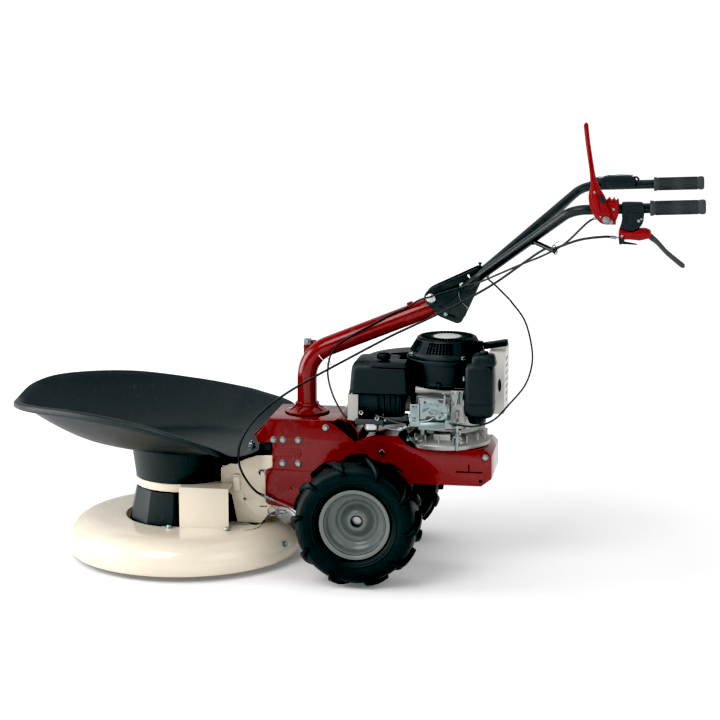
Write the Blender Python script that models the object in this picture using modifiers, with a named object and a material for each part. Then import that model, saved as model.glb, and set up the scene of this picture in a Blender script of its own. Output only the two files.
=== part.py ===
"""Walk-behind rotary mower: a two-wheel motor unit with a single-drum mowing head.

Metres, +Z up. The front of the machine faces -X and its left side faces -Y.
Every size below is measured from the point on the floor under the wheel axle,
and an empty there carries all parts, so that the whole machine stands over the
middle of its own footprint.
"""
import math

import bmesh
import bpy
from mathutils import Matrix, Vector

# Clearances
GAP = 0.0003
RUNNING = 0.0004

# Wheels and axle
WHEEL_DIAMETER = 0.330
TYRE_WIDTH = 0.127
WHEEL_TRACK = 0.462
RIM_DIAMETER = 0.179
RIM_WIDTH = 0.100
RIM_WALL = 0.003
RIM_BEAD_DEPTH = 0.0135
HUB_DEPTH = 0.037
HUB_DIAMETER = 0.040
HUB_LENGTH = 0.052
AXLE_DIAMETER = 0.024
AXLE_INSET = 0.012
LUG_HEIGHT = 0.011
LUGS_PER_SIDE = 10
LUG_SWEEP = 2.2
TYRE_WALL = 0.013
AXLE_Z = WHEEL_DIAMETER / 2
RIM_R = RIM_DIAMETER / 2
BARREL_R = RIM_R - RIM_BEAD_DEPTH
WHEEL_Y = WHEEL_TRACK / 2
AXLE_R = AXLE_DIAMETER / 2

# Place of the axle over the footprint's middle
AXLE_X = 0.0585

# Chassis plates
PLATE = 0.005
CHASSIS_WIDTH = 0.180
CHASSIS_TOP_Z = 0.3825
CHASSIS_FRONT_X = -0.2475
CHASSIS_Y = CHASSIS_WIDTH / 2
TOP_PLATE = 0.004
TOP_PLATE_Z = CHASSIS_TOP_Z + GAP + TOP_PLATE
COVER_X = -0.073
COVER_Z = 0.3375
COVER_R = 0.055

# Engine deck
DECK_TOP_Z = 0.3220
DECK_REAR_X = 0.322
DECK_SHEET = 0.004
DECK_BOTTOM_Z = 0.229
HUMP_Z = 0.352
DECK_HOLE_R = 0.034

# Travel gearbox
GEARBOX_LENGTH = 0.135
GEARBOX_WIDTH = 0.120
GEARBOX_HEIGHT = 0.117
GEARBOX_WALL = 0.006
GEARBOX_X = -0.022
WORM_WHEEL_R = 0.038
WORM_R = 0.0117
WORM_MESH = 0.0005
WORM_SHAFT_R = 0.008
TRAVEL_PULLEY_R = 0.042
WORM_X = -(WORM_WHEEL_R + WORM_R + WORM_MESH)
GEARBOX_TOP_Z = AXLE_Z + 0.057
GEARBOX_BOTTOM_Z = GEARBOX_TOP_Z - GEARBOX_HEIGHT

# Belts
BELT_OVER_GEARBOX = 0.014
BELT_SPACING = 0.040
BELT_HEIGHT = 0.010
BELT_THICKNESS = 0.008
PULLEY_FLANGE = 0.003
ROOT_CLEARANCE = 0.001
ENGINE_PULLEY_R = 0.045
DRUM_PULLEY_R = 0.062
MOWER_BELT_Z = GEARBOX_TOP_Z + BELT_OVER_GEARBOX
TRAVEL_BELT_Z = MOWER_BELT_Z + BELT_SPACING

# Engine
CRANK_X = 0.196
CRANK_R = 0.0125
ENGINE_FLANGE_R = 0.113
ENGINE_BASE_HEIGHT = 0.050
CRANKCASE_LENGTH = 0.173
CRANKCASE_WIDTH = 0.176
CRANKCASE_HEIGHT = 0.110
BLOWER_R = 0.105
BLOWER_HEIGHT = 0.065
BLOWER_WALL = 0.003
RECOIL_R = 0.100
RECOIL_TOP_R = 0.075
RECOIL_HEIGHT = 0.050
FLYWHEEL_R = 0.085
FLYWHEEL_HEIGHT = 0.024
TANK_LEFT_X = -0.050
TANK_RIGHT_X = 0.112
TANK_NEAR_Y = -0.128
TANK_FAR_Y = 0.025
TANK_SHOULDER_Z = 0.466
TANK_TOP_Z = 0.545
TANK_BOTTOM_Z = 0.402
CAP_R = 0.0175
CAP_HEIGHT = 0.013
FILLER_X = 0.045
FILLER_Y = -0.088
FILLER_HEIGHT = 0.006
FILTER_FRONT_X = 0.2545
FILTER_REAR_X = 0.3225
FILTER_NEAR_Y = -0.150
FILTER_TOP_Z = 0.556
FILTER_BOTTOM_Z = 0.414
MUFFLER_THICKNESS = 0.040
MUFFLER_REAR_X = 0.346
ENGINE_BASE_Z = DECK_TOP_Z + GAP
CRANKCASE_Z = ENGINE_BASE_Z + ENGINE_BASE_HEIGHT + GAP
BLOWER_Z = CRANKCASE_Z + CRANKCASE_HEIGHT + GAP
RECOIL_Z = BLOWER_Z + BLOWER_HEIGHT + GAP
RECOIL_TOP_Z = RECOIL_Z + RECOIL_HEIGHT
CRANKCASE_FRONT_X = TANK_RIGHT_X + GAP
CRANKCASE_REAR_X = CRANKCASE_FRONT_X + CRANKCASE_LENGTH
CRANKCASE_Y = CRANKCASE_WIDTH / 2

# Starter grip
GRIP_BAR_LENGTH = 0.058
GRIP_BAR_HEIGHT = 0.013
STARTER_Z = 0.577
ROPE_R = 0.0025
ROPE_SHOWN = 0.009

# Mowing head
DRUM_X = -0.495
DRUM_SHAFT_R = 0.015
DRUM_TOP_R = 0.130
DRUM_BOTTOM_R = 0.160
DRUM_WALL = 0.004
DRUM_UNDER_BAND = 0.0035
DISC_EDGE = 0.021
DISC_THICKNESS = 0.006
DISC_Z = 0.040
DISC_HUB_HEIGHT = 0.012
BLADES = 3
BLADE_TIP_GAP = 0.015
BLADE_LENGTH = 0.087
BLADE_WIDTH = 0.040
BLADE_THICKNESS = 0.004
BLADE_TAIL = 0.014
BLADE_PIN_R = 0.006
SKID_R = 0.141
SKID_FLAT_R = 0.090
SKID_RISE = 0.027
SKID_THICKNESS = 0.004
BAND_R = 0.130
BAND_UNDER_BELT = 0.024
BAND_HEIGHT = 0.020
SHEET = 0.004
HEAD_WIDTH = CHASSIS_WIDTH - 2 * (PLATE + GAP)
LEG_Y = 0.154
LEG_FRONT_X = -0.475
LEG_REAR_X = -0.346
SKIRT_R = 0.310
SKIRT_TOP_Z = 0.103
SKIRT_BOTTOM_Z = 0.018
SKIRT_HOLE_R = 0.158
SKIRT_WALL = 0.003
SKIRT_GAP_DEG = 54.0
SKIRT_STEP_DEG = 9.0
COVER_BOTTOM_R = 0.128
COVER_TOP_R = 0.139
COVER_HEIGHT = 0.0862
COVER_SLOT_OVER_BELT = 0.020
BEARING_R = 0.038
BEARING_FLANGE_R = 0.060
HEAD_Y = HEAD_WIDTH / 2
BEARING_HOLE_R = BEARING_R + 0.002
BAND_TOP_Z = MOWER_BELT_Z - BAND_UNDER_BELT
DRUM_TOP_Z = BAND_TOP_Z - BAND_HEIGHT - DRUM_UNDER_BAND
COVER_TOP_Z = BAND_TOP_Z + GAP + COVER_HEIGHT
BLADE_PIVOT_R = SKIRT_R - BLADE_TIP_GAP - BLADE_LENGTH + BLADE_TAIL
DISC_R = BLADE_PIVOT_R + DISC_EDGE

# Collecting dish
DISH_FRONT_X = -0.941
DISH_REAR_X = -0.262
DISH_HALF_WIDTH = 0.310
DISH_DEPTH = 0.130
DISH_FLAT = 0.5
DISH_CURVE = 1.5
DISH_WALL = 0.004
DISH_LIP = 0.011
DISH_LIP_DROP = 0.018
DISH_BLOCK_WIDTH = 0.178
DISH_BLOCK_HEIGHT = 0.021
DISH_BLOCK_Z = 0.300
DISH_BLOCK_REAR_X = -0.2445
DISH_FLOOR_Z = COVER_TOP_Z + GAP + DISH_WALL
# Rim from the tip along the left side to the rear and back along the right side, each
# point as shares of the dish's length, half width and depth
DISH_RIM = [(0.0, 0.0, 0.76), (0.034, -0.26, 0.81), (0.134, -0.52, 0.86),
            (0.355, -0.80, 0.915), (0.60, -0.97, 0.80), (0.775, -1.0, 0.56),
            (0.870, -0.935, 0.355), (0.913, -0.763, 0.132), (0.932, -0.536, 0.017),
            (0.971, -0.325, 0.009), (1.0, 0.0, 0.009), (1.003, 0.292, 0.032),
            (1.018, 0.552, 0.194), (1.012, 0.763, 0.43), (0.870, 0.935, 0.575),
            (0.775, 1.0, 0.645), (0.60, 0.97, 0.80), (0.355, 0.80, 1.0),
            (0.134, 0.52, 1.05), (0.034, 0.26, 0.97)]

# Steering column
COLUMN_X = -0.1675
COLUMN_R = 0.0255
COLUMN_FLANGE_R = 0.056
COLUMN_FLANGE = 0.006
COLUMN_COLLAR_R = 0.0310
COLUMN_BEND_Z = 0.480
COLUMN_BEND_R = 0.089
COLUMN_SLOPE_DEG = 22.3
COLUMN_END_X = 0.160
LOCK_X = -0.176
LOCK_Y = 0.052
LOCK_R = 0.008
LOCK_TOP_Z = 0.548
LOCK_HEAD = 0.018
LUG_Z = 0.462
PIVOT_X = 0.1567
PIVOT_Z = 0.6975
PIVOT_R = 0.006
PIVOT_BOSS_R = 0.018
PIVOT_HEAD_R = 0.013
BRACKET_GAP = 0.0002

# Handlebar
BRACKET_SHEET = 0.004
TUBE_R = 0.012
TUBE_BEND_R = 0.070
GRIP_TRACK = 0.558
GRIP_R = 0.0165
GRIP_LENGTH = 0.130
GRIP_WALL = 0.008
BAR_BEND_X = 0.522
BAR_BEND_Z = 0.957
BAR_END_X = 0.826
BAR_END_Z = 0.970
GRIP_Y = GRIP_TRACK / 2
BRACKET_Y = COLUMN_R + 0.0015 + BRACKET_SHEET

# Levers
CLAMP_FRONT_X = 0.588
CLAMP_LENGTH = 0.044
ENGAGE_PIVOT_Z = 0.938
ENGAGE_THICKNESS = 0.006
HOUSING_LENGTH = 0.062
HOUSING_Y = 0.015
LEVER_SLOT_Y = 0.0078
LEVER_Y = 0.0072
CLUTCH_PIVOT_Z = 0.900
TRIGGER_PIVOT_Z = 0.882
CLAMP_REAR_X = CLAMP_FRONT_X + CLAMP_LENGTH
ENGAGE_PIVOT_X = CLAMP_FRONT_X + 0.015
HOUSING_FRONT_X = CLAMP_REAR_X - 0.002
HOUSING_REAR_X = HOUSING_FRONT_X + HOUSING_LENGTH
CLUTCH_PIVOT_X = HOUSING_FRONT_X + 0.011
TRIGGER_PIVOT_X = HOUSING_FRONT_X + 0.008
THROTTLE_BOX_X = 0.615
THROTTLE_BOX_LENGTH = 0.080
THROTTLE_BOX_WIDTH = 0.036
THROTTLE_BOX_HEIGHT = 0.014
HANGER_LENGTH = 0.060
CABLE_R = 0.003
THIN_CABLE_R = 0.0025

RED = (0.42, 0.012, 0.016)
CREAM = (0.80, 0.74, 0.62)
BLACK = (0.018, 0.021, 0.023)
RUBBER = (0.012, 0.013, 0.014)
GREY = (0.30, 0.30, 0.29)
CAST = (0.42, 0.42, 0.40)
ZINC = (0.52, 0.56, 0.57)
STEEL = (0.36, 0.36, 0.37)

COLLECTION = "rotary_mower"
CUTTERS = "cutters"


def reset_scene():
    """Empty the scene and make the two collections and the carrying empty."""
    for obj in list(bpy.data.objects):
        bpy.data.objects.remove(obj, do_unlink=True)
    for name in (COLLECTION, CUTTERS):
        collection = bpy.data.collections.new(name)
        bpy.context.scene.collection.children.link(collection)
    base = bpy.data.objects.new("machine_base", None)
    base.location = (AXLE_X, 0.0, 0.0)
    bpy.data.collections[COLLECTION].objects.link(base)
    return base


def material(name, colour, roughness, metallic=0.0):
    """Principled material with one colour."""
    mat = bpy.data.materials.new(name)
    mat.use_nodes = True
    shader = mat.node_tree.nodes["Principled BSDF"]
    shader.inputs["Base Color"].default_value = (*colour, 1.0)
    shader.inputs["Roughness"].default_value = roughness
    shader.inputs["Metallic"].default_value = metallic
    mat.diffuse_color = (*colour, 1.0)
    return mat


def new_object(name, data):
    """Link new data to the cutters, from where a finished part is moved by part()."""
    obj = bpy.data.objects.new(name, data)
    obj.parent = BASE
    obj.hide_render = True
    obj.display_type = 'WIRE'
    bpy.data.collections[CUTTERS].objects.link(obj)
    return obj


def part(obj, name, colour, roughness, metallic=0.0, pivot=None):
    """Name a finished solid, give it its material, and put its origin on its pivot."""
    obj.name = name
    obj.data.name = name
    obj.data.materials.clear()
    obj.data.materials.append(material(name, colour, roughness, metallic))
    bpy.data.collections[CUTTERS].objects.unlink(obj)
    bpy.data.collections[COLLECTION].objects.link(obj)
    obj.hide_render = False
    obj.display_type = 'TEXTURED'
    if pivot is not None:
        shift = Vector(pivot) - obj.location
        turn = obj.rotation_euler.to_matrix().to_4x4()
        obj.data.transform(turn.inverted() @ Matrix.Translation(-shift) @ turn)
        obj.location = pivot
    if obj.type == 'MESH':
        obj.data.shade_smooth()
        obj.data.set_sharp_from_angle(angle=math.radians(35))
    return obj


def box(low, high, bevel=0.0, segments=2):
    """Box between two corners, with its edges rounded by a Bevel modifier."""
    low = Vector(low)
    high = Vector(high)
    mesh = bpy.data.meshes.new("box")
    bm = bmesh.new()
    bmesh.ops.create_cube(bm, size=1.0)
    bmesh.ops.scale(bm, vec=high - low, verts=bm.verts)
    bm.to_mesh(mesh)
    bm.free()
    obj = new_object("box", mesh)
    obj.location = (low + high) / 2
    if bevel > 0:
        rounding = obj.modifiers.new("edges", 'BEVEL')
        rounding.width = bevel
        rounding.segments = segments
    return obj


def rod(start, end, radius, sides=20):
    """Straight round bar between two points."""
    start = Vector(start)
    end = Vector(end)
    mesh = bpy.data.meshes.new("rod")
    bm = bmesh.new()
    bmesh.ops.create_cone(bm, cap_ends=True, segments=sides, radius1=radius,
                          radius2=radius, depth=(end - start).length)
    bm.to_mesh(mesh)
    bm.free()
    obj = new_object("rod", mesh)
    obj.location = (start + end) / 2
    obj.rotation_euler = (end - start).to_track_quat('Z', 'Y').to_euler()
    return obj


def turned(profile, centre=(0, 0, 0), steps=24, angle=360.0, start=0.0, closed=True):
    """Turn a profile of (radius, height) points about a vertical axis."""
    mesh = bpy.data.meshes.new("turned")
    bm = bmesh.new()
    points = [bm.verts.new((radius, 0.0, height)) for radius, height in profile]
    for first, second in zip(points, points[1:]):
        bm.edges.new((first, second))
    if closed:
        bm.edges.new((points[-1], points[0]))
    bm.to_mesh(mesh)
    bm.free()
    obj = new_object("turned", mesh)
    obj.location = centre
    obj.rotation_euler = (0.0, 0.0, math.radians(start))
    screw = obj.modifiers.new("turn", 'SCREW')
    screw.angle = math.radians(angle)
    screw.steps = steps
    screw.render_steps = steps
    screw.use_merge_vertices = angle > 359.0
    screw.merge_threshold = 0.00001
    return obj


def circle(x, y, radius, sides=16):
    """Points of a circle in a flat outline."""
    steps = [2 * math.pi * i / sides for i in range(sides)]
    return [(x + radius * math.cos(a), y + radius * math.sin(a)) for a in steps]


def outline(rings, thickness):
    """Flat 2D curve of one outer ring and any holes, as thick as asked, about z = 0."""
    curve = bpy.data.curves.new("outline", 'CURVE')
    curve.dimensions = '2D'
    curve.fill_mode = 'BOTH'
    curve.extrude = thickness / 2
    for ring in rings:
        spline = curve.splines.new('POLY')
        spline.points.add(len(ring) - 1)
        for point, (x, y) in zip(spline.points, ring):
            point.co = (x, y, 0.0, 1.0)
        spline.use_cyclic_u = True
    return new_object("outline", curve)


def upright_plate(rings, y_low, y_high):
    """Plate whose outline is drawn in x and z, between two y planes."""
    obj = outline(rings, y_high - y_low)
    obj.rotation_euler = (math.pi / 2, 0.0, 0.0)
    obj.location = (0.0, (y_low + y_high) / 2, 0.0)
    return obj


def level_plate(rings, z_low, z_high):
    """Plate whose outline is drawn in x and y, between two z planes."""
    obj = outline(rings, z_high - z_low)
    obj.location = (0.0, 0.0, (z_low + z_high) / 2)
    return obj


def as_mesh(obj):
    """Replace a curve by its mesh, with its caps welded, in the same place."""
    depsgraph = bpy.context.evaluated_depsgraph_get()
    mesh = bpy.data.meshes.new_from_object(obj.evaluated_get(depsgraph))
    bm = bmesh.new()
    bm.from_mesh(mesh)
    bmesh.ops.remove_doubles(bm, verts=bm.verts, dist=0.000001)
    bm.to_mesh(mesh)
    bm.free()
    made = new_object("mesh", mesh)
    made.location = obj.location
    made.rotation_euler = obj.rotation_euler
    bpy.data.objects.remove(obj, do_unlink=True)
    return made


def combine(target, tools, operation):
    """Boolean modifiers on the target, one for each tool."""
    if target.type == 'CURVE':
        target = as_mesh(target)
    for tool in tools:
        if tool.type == 'CURVE':
            tool = as_mesh(tool)
        modifier = target.modifiers.new(operation.lower(), 'BOOLEAN')
        modifier.operation = operation
        modifier.solver = 'EXACT'
        modifier.object = tool
    return target


def join(target, *tools):
    return combine(target, tools, 'UNION')


def cut(target, *tools):
    return combine(target, tools, 'DIFFERENCE')


def rounded_path(corners, radii, arc_points=5):
    """Path through corner points, each inner corner turned with its own radius."""
    corners = [Vector(c) for c in corners]
    path = [corners[0]]
    for before, corner, after, radius in zip(corners, corners[1:], corners[2:], radii):
        into = (before - corner).normalized()
        out = (after - corner).normalized()
        half = into.angle(out) / 2
        reach = radius / math.tan(half)
        centre = corner + (into + out).normalized() * (radius / math.sin(half))
        first = corner + into * reach - centre
        last = corner + out * reach - centre
        for i in range(arc_points + 1):
            path.append(centre + first.slerp(last, i / arc_points).normalized() * radius)
    path.append(corners[-1])
    return path


def smooth_path(points, count):
    """Evenly spaced points on a Catmull-Rom curve through the given points."""
    nodes = [Vector(p) for p in points]
    nodes = [2 * nodes[0] - nodes[1]] + nodes + [2 * nodes[-1] - nodes[-2]]
    dense = []
    for a, b, c, d in zip(nodes, nodes[1:], nodes[2:], nodes[3:]):
        for i in range(24):
            t = i / 24
            dense.append(0.5 * (2 * b + (c - a) * t + (2 * a - 5 * b + 4 * c - d) * t * t
                                + (3 * b - a - 3 * c + d) * t ** 3))
    dense.append(nodes[-2])
    lengths = [0.0]
    for a, b in zip(dense, dense[1:]):
        lengths.append(lengths[-1] + (b - a).length)
    path = []
    index = 0
    for i in range(count):
        wanted = lengths[-1] * i / (count - 1)
        while index < len(lengths) - 2 and lengths[index + 1] < wanted:
            index += 1
        share = (wanted - lengths[index]) / (lengths[index + 1] - lengths[index])
        path.append(dense[index].lerp(dense[index + 1], min(max(share, 0.0), 1.0)))
    return path


def tube(path, radius, resolution=2):
    """Round bar or wire along a path."""
    curve = bpy.data.curves.new("tube", 'CURVE')
    curve.dimensions = '3D'
    curve.bevel_depth = radius
    curve.bevel_resolution = resolution
    curve.use_fill_caps = True
    spline = curve.splines.new('POLY')
    spline.points.add(len(path) - 1)
    for point, place in zip(spline.points, path):
        point.co = (*place, 1.0)
    return new_object("tube", curve)


def tyre(name, side):
    """Open-bottomed carcass with two rows of swept bar lugs."""
    bead_y = RIM_WIDTH / 2 - RIM_WALL - GAP
    half = TYRE_WIDTH / 2
    crown = WHEEL_DIAMETER / 2 - LUG_HEIGHT
    seat = BARREL_R + GAP
    upper = [(seat, bead_y - TYRE_WALL), (seat, bead_y), (RIM_R + 0.001, bead_y),
             (RIM_R + 0.012, half - 0.004), (RIM_R + 0.036, half), (crown - 0.008, half - 0.006),
             (crown, 0.0)]
    inner = [(crown - TYRE_WALL, half - TYRE_WALL)]
    profile = upper + [(r, -y) for r, y in reversed(upper[:-1])]
    profile += [(r, -y) for r, y in inner] + inner
    mesh = bpy.data.meshes.new("tyre")
    bm = bmesh.new()
    points = [bm.verts.new((r, y, 0.0)) for r, y in profile]
    edges = [bm.edges.new((a, b)) for a, b in zip(points, points[1:] + points[:1])]
    steps = 4 * LUGS_PER_SIDE
    bmesh.ops.spin(bm, geom=points + edges, cent=(0, 0, 0), axis=(0, 1, 0),
                   dvec=(0, 0, 0), angle=2 * math.pi, steps=steps, use_merge=True)
    bmesh.ops.remove_doubles(bm, verts=bm.verts, dist=0.000001)
    bmesh.ops.recalc_face_normals(bm, faces=bm.faces)
    for lug in range(2 * LUGS_PER_SIDE):
        row = 1 if lug % 2 else -1
        faces = [face for face in bm.faces if is_lug_face(face, lug, row, steps)]
        raised = bmesh.ops.extrude_face_region(bm, geom=faces)["geom"]
        bmesh.ops.delete(bm, geom=faces, context='FACES')
        for vert in (item for item in raised if isinstance(item, bmesh.types.BMVert)):
            height = math.hypot(vert.co.x, vert.co.z)
            grow = (WHEEL_DIAMETER / 2 - (0.003 if height < crown - 0.004 else 0.0)) / height
            vert.co.x *= grow
            vert.co.z *= grow
            if abs(vert.co.y) < LUG_HEIGHT / 4:
                vert.co.y = row * LUG_HEIGHT / 4
    for vert in bm.verts:
        height = math.hypot(vert.co.x, vert.co.z)
        if height > crown - 0.009:
            turn = -LUG_SWEEP * abs(vert.co.y)
            vert.co = Matrix.Rotation(turn, 3, 'Y') @ vert.co
    loose = [edge for edge in bm.edges if not edge.link_faces]
    bmesh.ops.delete(bm, geom=loose, context='EDGES')
    bm.to_mesh(mesh)
    bm.free()
    obj = new_object(name, mesh)
    obj.location = (0.0, side * WHEEL_Y, AXLE_Z)
    return part(obj, name, RUBBER, 0.75)


def is_lug_face(face, lug, row, steps):
    """True for the crown faces of one lug: two steps wide, from the shoulder to the middle."""
    middle = face.calc_center_median()
    height = math.hypot(middle.x, middle.z)
    if height < WHEEL_DIAMETER / 2 - LUG_HEIGHT - 0.005 or middle.y * row < 0:
        return False
    angle = math.atan2(middle.z, middle.x) % (2 * math.pi)
    return int(angle / (2 * math.pi / steps)) // 2 == lug


def rim(name, side):
    """Pressed disc wheel: two bead flanges, a barrel and a stepped disc round a hub tube."""
    edge = RIM_WIDTH / 2
    face = edge - HUB_DEPTH
    bore = AXLE_R + RUNNING
    hub = HUB_DIAMETER / 2
    inside = BARREL_R - RIM_WALL
    profile = [(RIM_R, edge), (RIM_R, edge - RIM_WALL), (BARREL_R, edge - RIM_WALL),
               (BARREL_R, RIM_WALL - edge), (RIM_R, RIM_WALL - edge), (RIM_R, -edge),
               (inside, 0.004 - edge), (inside, 0.010), (0.048, -0.010), (hub, -0.004),
               (hub, face - HUB_LENGTH), (bore, face - HUB_LENGTH), (bore, face),
               (hub, face), (0.045, -0.003), (0.062, 0.011), (inside, 0.016),
               (inside, edge - 0.004)]
    obj = turned(profile, steps=16)
    obj.location = (0.0, side * WHEEL_Y, AXLE_Z)
    obj.rotation_euler = (-side * math.pi / 2, 0.0, 0.0)
    return part(obj, name, GREY, 0.35, 0.6)


def axle():
    """Through axle with the worm wheel keyed on it."""
    reach = WHEEL_Y + RIM_WIDTH / 2 - HUB_DEPTH - AXLE_INSET
    shaft = rod((0, -reach, AXLE_Z), (0, reach, AXLE_Z), AXLE_R, 16)
    wheel = rod((0, -0.012, AXLE_Z), (0, 0.012, AXLE_Z), WORM_WHEEL_R, 24)
    boss = rod((0, -0.022, AXLE_Z), (0, 0.022, AXLE_Z), AXLE_R + 0.007, 16)
    join(shaft, wheel, boss)
    part(shaft, "axle_shaft", STEEL, 0.35, 1.0)


def worm_shaft():
    """Upright worm with its bearing journals and the travel pulley on its top."""
    top = TRAVEL_BELT_Z + BELT_HEIGHT / 2 + PULLEY_FLANGE + 0.004
    groove = BELT_HEIGHT / 2 + RUNNING
    low = TRAVEL_BELT_Z - groove
    high = TRAVEL_BELT_Z + groove
    root = TRAVEL_PULLEY_R - BELT_THICKNESS - ROOT_CLEARANCE
    bottom = GEARBOX_BOTTOM_Z + GEARBOX_WALL + 0.001
    profile = [(0.0, top), (WORM_SHAFT_R + 0.006, top),
               (WORM_SHAFT_R + 0.006, high + PULLEY_FLANGE),
               (TRAVEL_PULLEY_R, high + PULLEY_FLANGE), (TRAVEL_PULLEY_R, high), (root, high),
               (root, low), (TRAVEL_PULLEY_R, low), (TRAVEL_PULLEY_R, low - PULLEY_FLANGE),
               (WORM_SHAFT_R, low - PULLEY_FLANGE), (WORM_SHAFT_R, AXLE_Z + 0.024),
               (WORM_R, AXLE_Z + 0.022), (WORM_R, AXLE_Z - 0.022),
               (WORM_SHAFT_R, AXLE_Z - 0.024), (WORM_SHAFT_R, bottom), (0.0, bottom)]
    obj = turned(profile, (WORM_X, 0, 0), 18, closed=False)
    part(obj, "worm_shaft", STEEL, 0.35, 1.0)


def gearbox():
    """Cast housing round the worm drive, with holes for the axle and the worm shaft."""
    low = (GEARBOX_X - GEARBOX_LENGTH / 2, -GEARBOX_WIDTH / 2, GEARBOX_BOTTOM_Z)
    high = (GEARBOX_X + GEARBOX_LENGTH / 2, GEARBOX_WIDTH / 2, GEARBOX_TOP_Z)
    wall = Vector((GEARBOX_WALL,) * 3)
    body = box(low, high, 0.010, 1)
    hollow = box(Vector(low) + wall, Vector(high) - wall)
    bearing = AXLE_R + RUNNING
    arm = CHASSIS_Y - PLATE - GAP
    hubs = rod((0, -arm, AXLE_Z), (0, arm, AXLE_Z), AXLE_R + 0.012, 16)
    bore = rod((0, -arm - 0.01, AXLE_Z), (0, arm + 0.01, AXLE_Z), bearing, 16)
    seat = rod((WORM_X, 0, AXLE_Z), (WORM_X, 0, GEARBOX_TOP_Z + 0.01),
               WORM_SHAFT_R + RUNNING, 16)
    foot = box((low[0] + 0.015, -arm, GEARBOX_TOP_Z - 0.040),
               (low[0] + 0.045, arm, GEARBOX_TOP_Z - 0.012))
    join(body, hubs, foot)
    cut(body, hollow, bore, seat)
    part(body, "gearbox_housing", GREY, 0.5, 0.4)


def side_plate(name, side):
    """Laser-cut chassis plate with the notch for the dish block and its bolt holes."""
    notch = DISH_BLOCK_Z + DISH_BLOCK_HEIGHT + 0.001
    front = [(CHASSIS_FRONT_X, CHASSIS_TOP_Z), (-0.286, 0.338), (-0.279, notch),
             (DISH_BLOCK_REAR_X + 0.001, notch), (DISH_BLOCK_REAR_X + 0.001, 0.257),
             (-0.262, 0.250),
             (-0.262, 0.163), (-0.248, 0.157), (-0.185, 0.150), (-0.060, 0.112),
             (0.030, 0.108), (0.060, 0.140), (0.060, 0.238), (-0.020, 0.326),
             (-0.092, CHASSIS_TOP_Z)]
    rings = [front, circle(0.0, AXLE_Z, AXLE_R + RUNNING + 0.001)]
    outer = side * CHASSIS_Y
    inner = side * (CHASSIS_Y - PLATE)
    obj = upright_plate(rings, min(outer, inner), max(outer, inner))
    part(obj, name, RED, 0.25)


def top_plate():
    """Folded sheet over the front of the chassis and the curved belt cover behind it."""
    z = CHASSIS_TOP_Z + GAP
    arc = [math.radians(100 - 10 * i) for i in range(11)]
    outer = [(COVER_X + COVER_R * math.cos(a), COVER_Z + COVER_R * math.sin(a)) for a in arc]
    bore = COVER_R - TOP_PLATE
    inner = [(COVER_X + bore * math.cos(a), COVER_Z + bore * math.sin(a)) for a in arc]
    nose = (-0.2868, 0.3395)
    fold = TOP_PLATE * 0.6
    ring = [nose, (CHASSIS_FRONT_X, z), (inner[0][0], z)] + inner[1:]
    ring += list(reversed(outer))[:-1] + [(inner[0][0], z + TOP_PLATE)]
    ring += [(CHASSIS_FRONT_X - fold, z + TOP_PLATE), (nose[0] - TOP_PLATE, nose[1] + fold)]
    cover_y = CHASSIS_Y - PLATE - GAP
    sheet = upright_plate([ring], -CHASSIS_Y, CHASSIS_Y)
    trims = [box((COVER_X - 0.018, side * cover_y - (0.02 if side < 0 else 0.0), 0.30),
                 (0.0, side * cover_y + (0.02 if side > 0 else 0.0), CHASSIS_TOP_Z + GAP))
             for side in (-1, 1)]
    sheet = cut(sheet, *trims)
    part(sheet, "top_plate", RED, 0.25)


def engine_deck():
    """Folded tray that carries the engine: humped top sheet and two side walls."""
    y = CHASSIS_Y + GAP
    top = [(-0.026, 0.333), (0.000, 0.3465), (0.022, HUMP_Z), (0.084, HUMP_Z),
           (0.108, 0.330), (0.124, DECK_TOP_Z), (DECK_REAR_X - 0.014, DECK_TOP_Z),
           (DECK_REAR_X, DECK_TOP_Z - 0.014)]
    rear = [(DECK_REAR_X, 0.249), (DECK_REAR_X - 0.026, DECK_BOTTOM_Z)]
    wall = top + rear + [(0.090, DECK_BOTTOM_Z), (0.036, 0.262), (-0.024, 0.3285)]
    cover_x = -0.0005
    step_x = CRANK_X - ENGINE_FLANGE_R - 0.002
    inside = [(-0.06, 0.20), (-0.06, 0.40), (cover_x, 0.40), (cover_x, 0.3465 - DECK_SHEET),
              (0.022, HUMP_Z - DECK_SHEET), (step_x - DECK_SHEET, HUMP_Z - DECK_SHEET),
              (step_x - DECK_SHEET, DECK_TOP_Z - DECK_SHEET),
              (DECK_REAR_X - 0.014, DECK_TOP_Z - DECK_SHEET),
              (DECK_REAR_X - DECK_SHEET, top[-1][1] - DECK_SHEET),
              (DECK_REAR_X - DECK_SHEET, 0.20)]
    body = upright_plate([wall], -y - DECK_SHEET, y + DECK_SHEET)
    hollow = upright_plate([inside], -y, y)
    hole = rod((CRANK_X, 0, 0.25), (CRANK_X, 0, 0.36), DECK_HOLE_R, 24)
    recess = box((step_x, -y, DECK_TOP_Z), (0.126, y, HUMP_Z + 0.01))
    body = cut(body, hollow, hole, recess)
    part(body, "engine_deck", RED, 0.25)


def belt(name, first_x, first_r, second_x, second_r, z):
    """Closed belt loop round two pulley roots."""
    rings = []
    for grow in (BELT_THICKNESS, 0.0):
        a = first_r - BELT_THICKNESS + grow
        b = second_r - BELT_THICKNESS + grow
        lean = math.acos((a - b) / (second_x - first_x))
        ring = []
        for i in range(11):
            angle = lean + (2 * math.pi - 2 * lean) * i / 10
            ring.append((first_x + a * math.cos(angle), a * math.sin(angle)))
        for i in range(11):
            angle = -lean + 2 * lean * i / 10
            ring.append((second_x + b * math.cos(angle), b * math.sin(angle)))
        rings.append(ring)
    obj = level_plate(rings, z - BELT_HEIGHT / 2, z + BELT_HEIGHT / 2)
    part(obj, name, RUBBER, 0.8)


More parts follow.
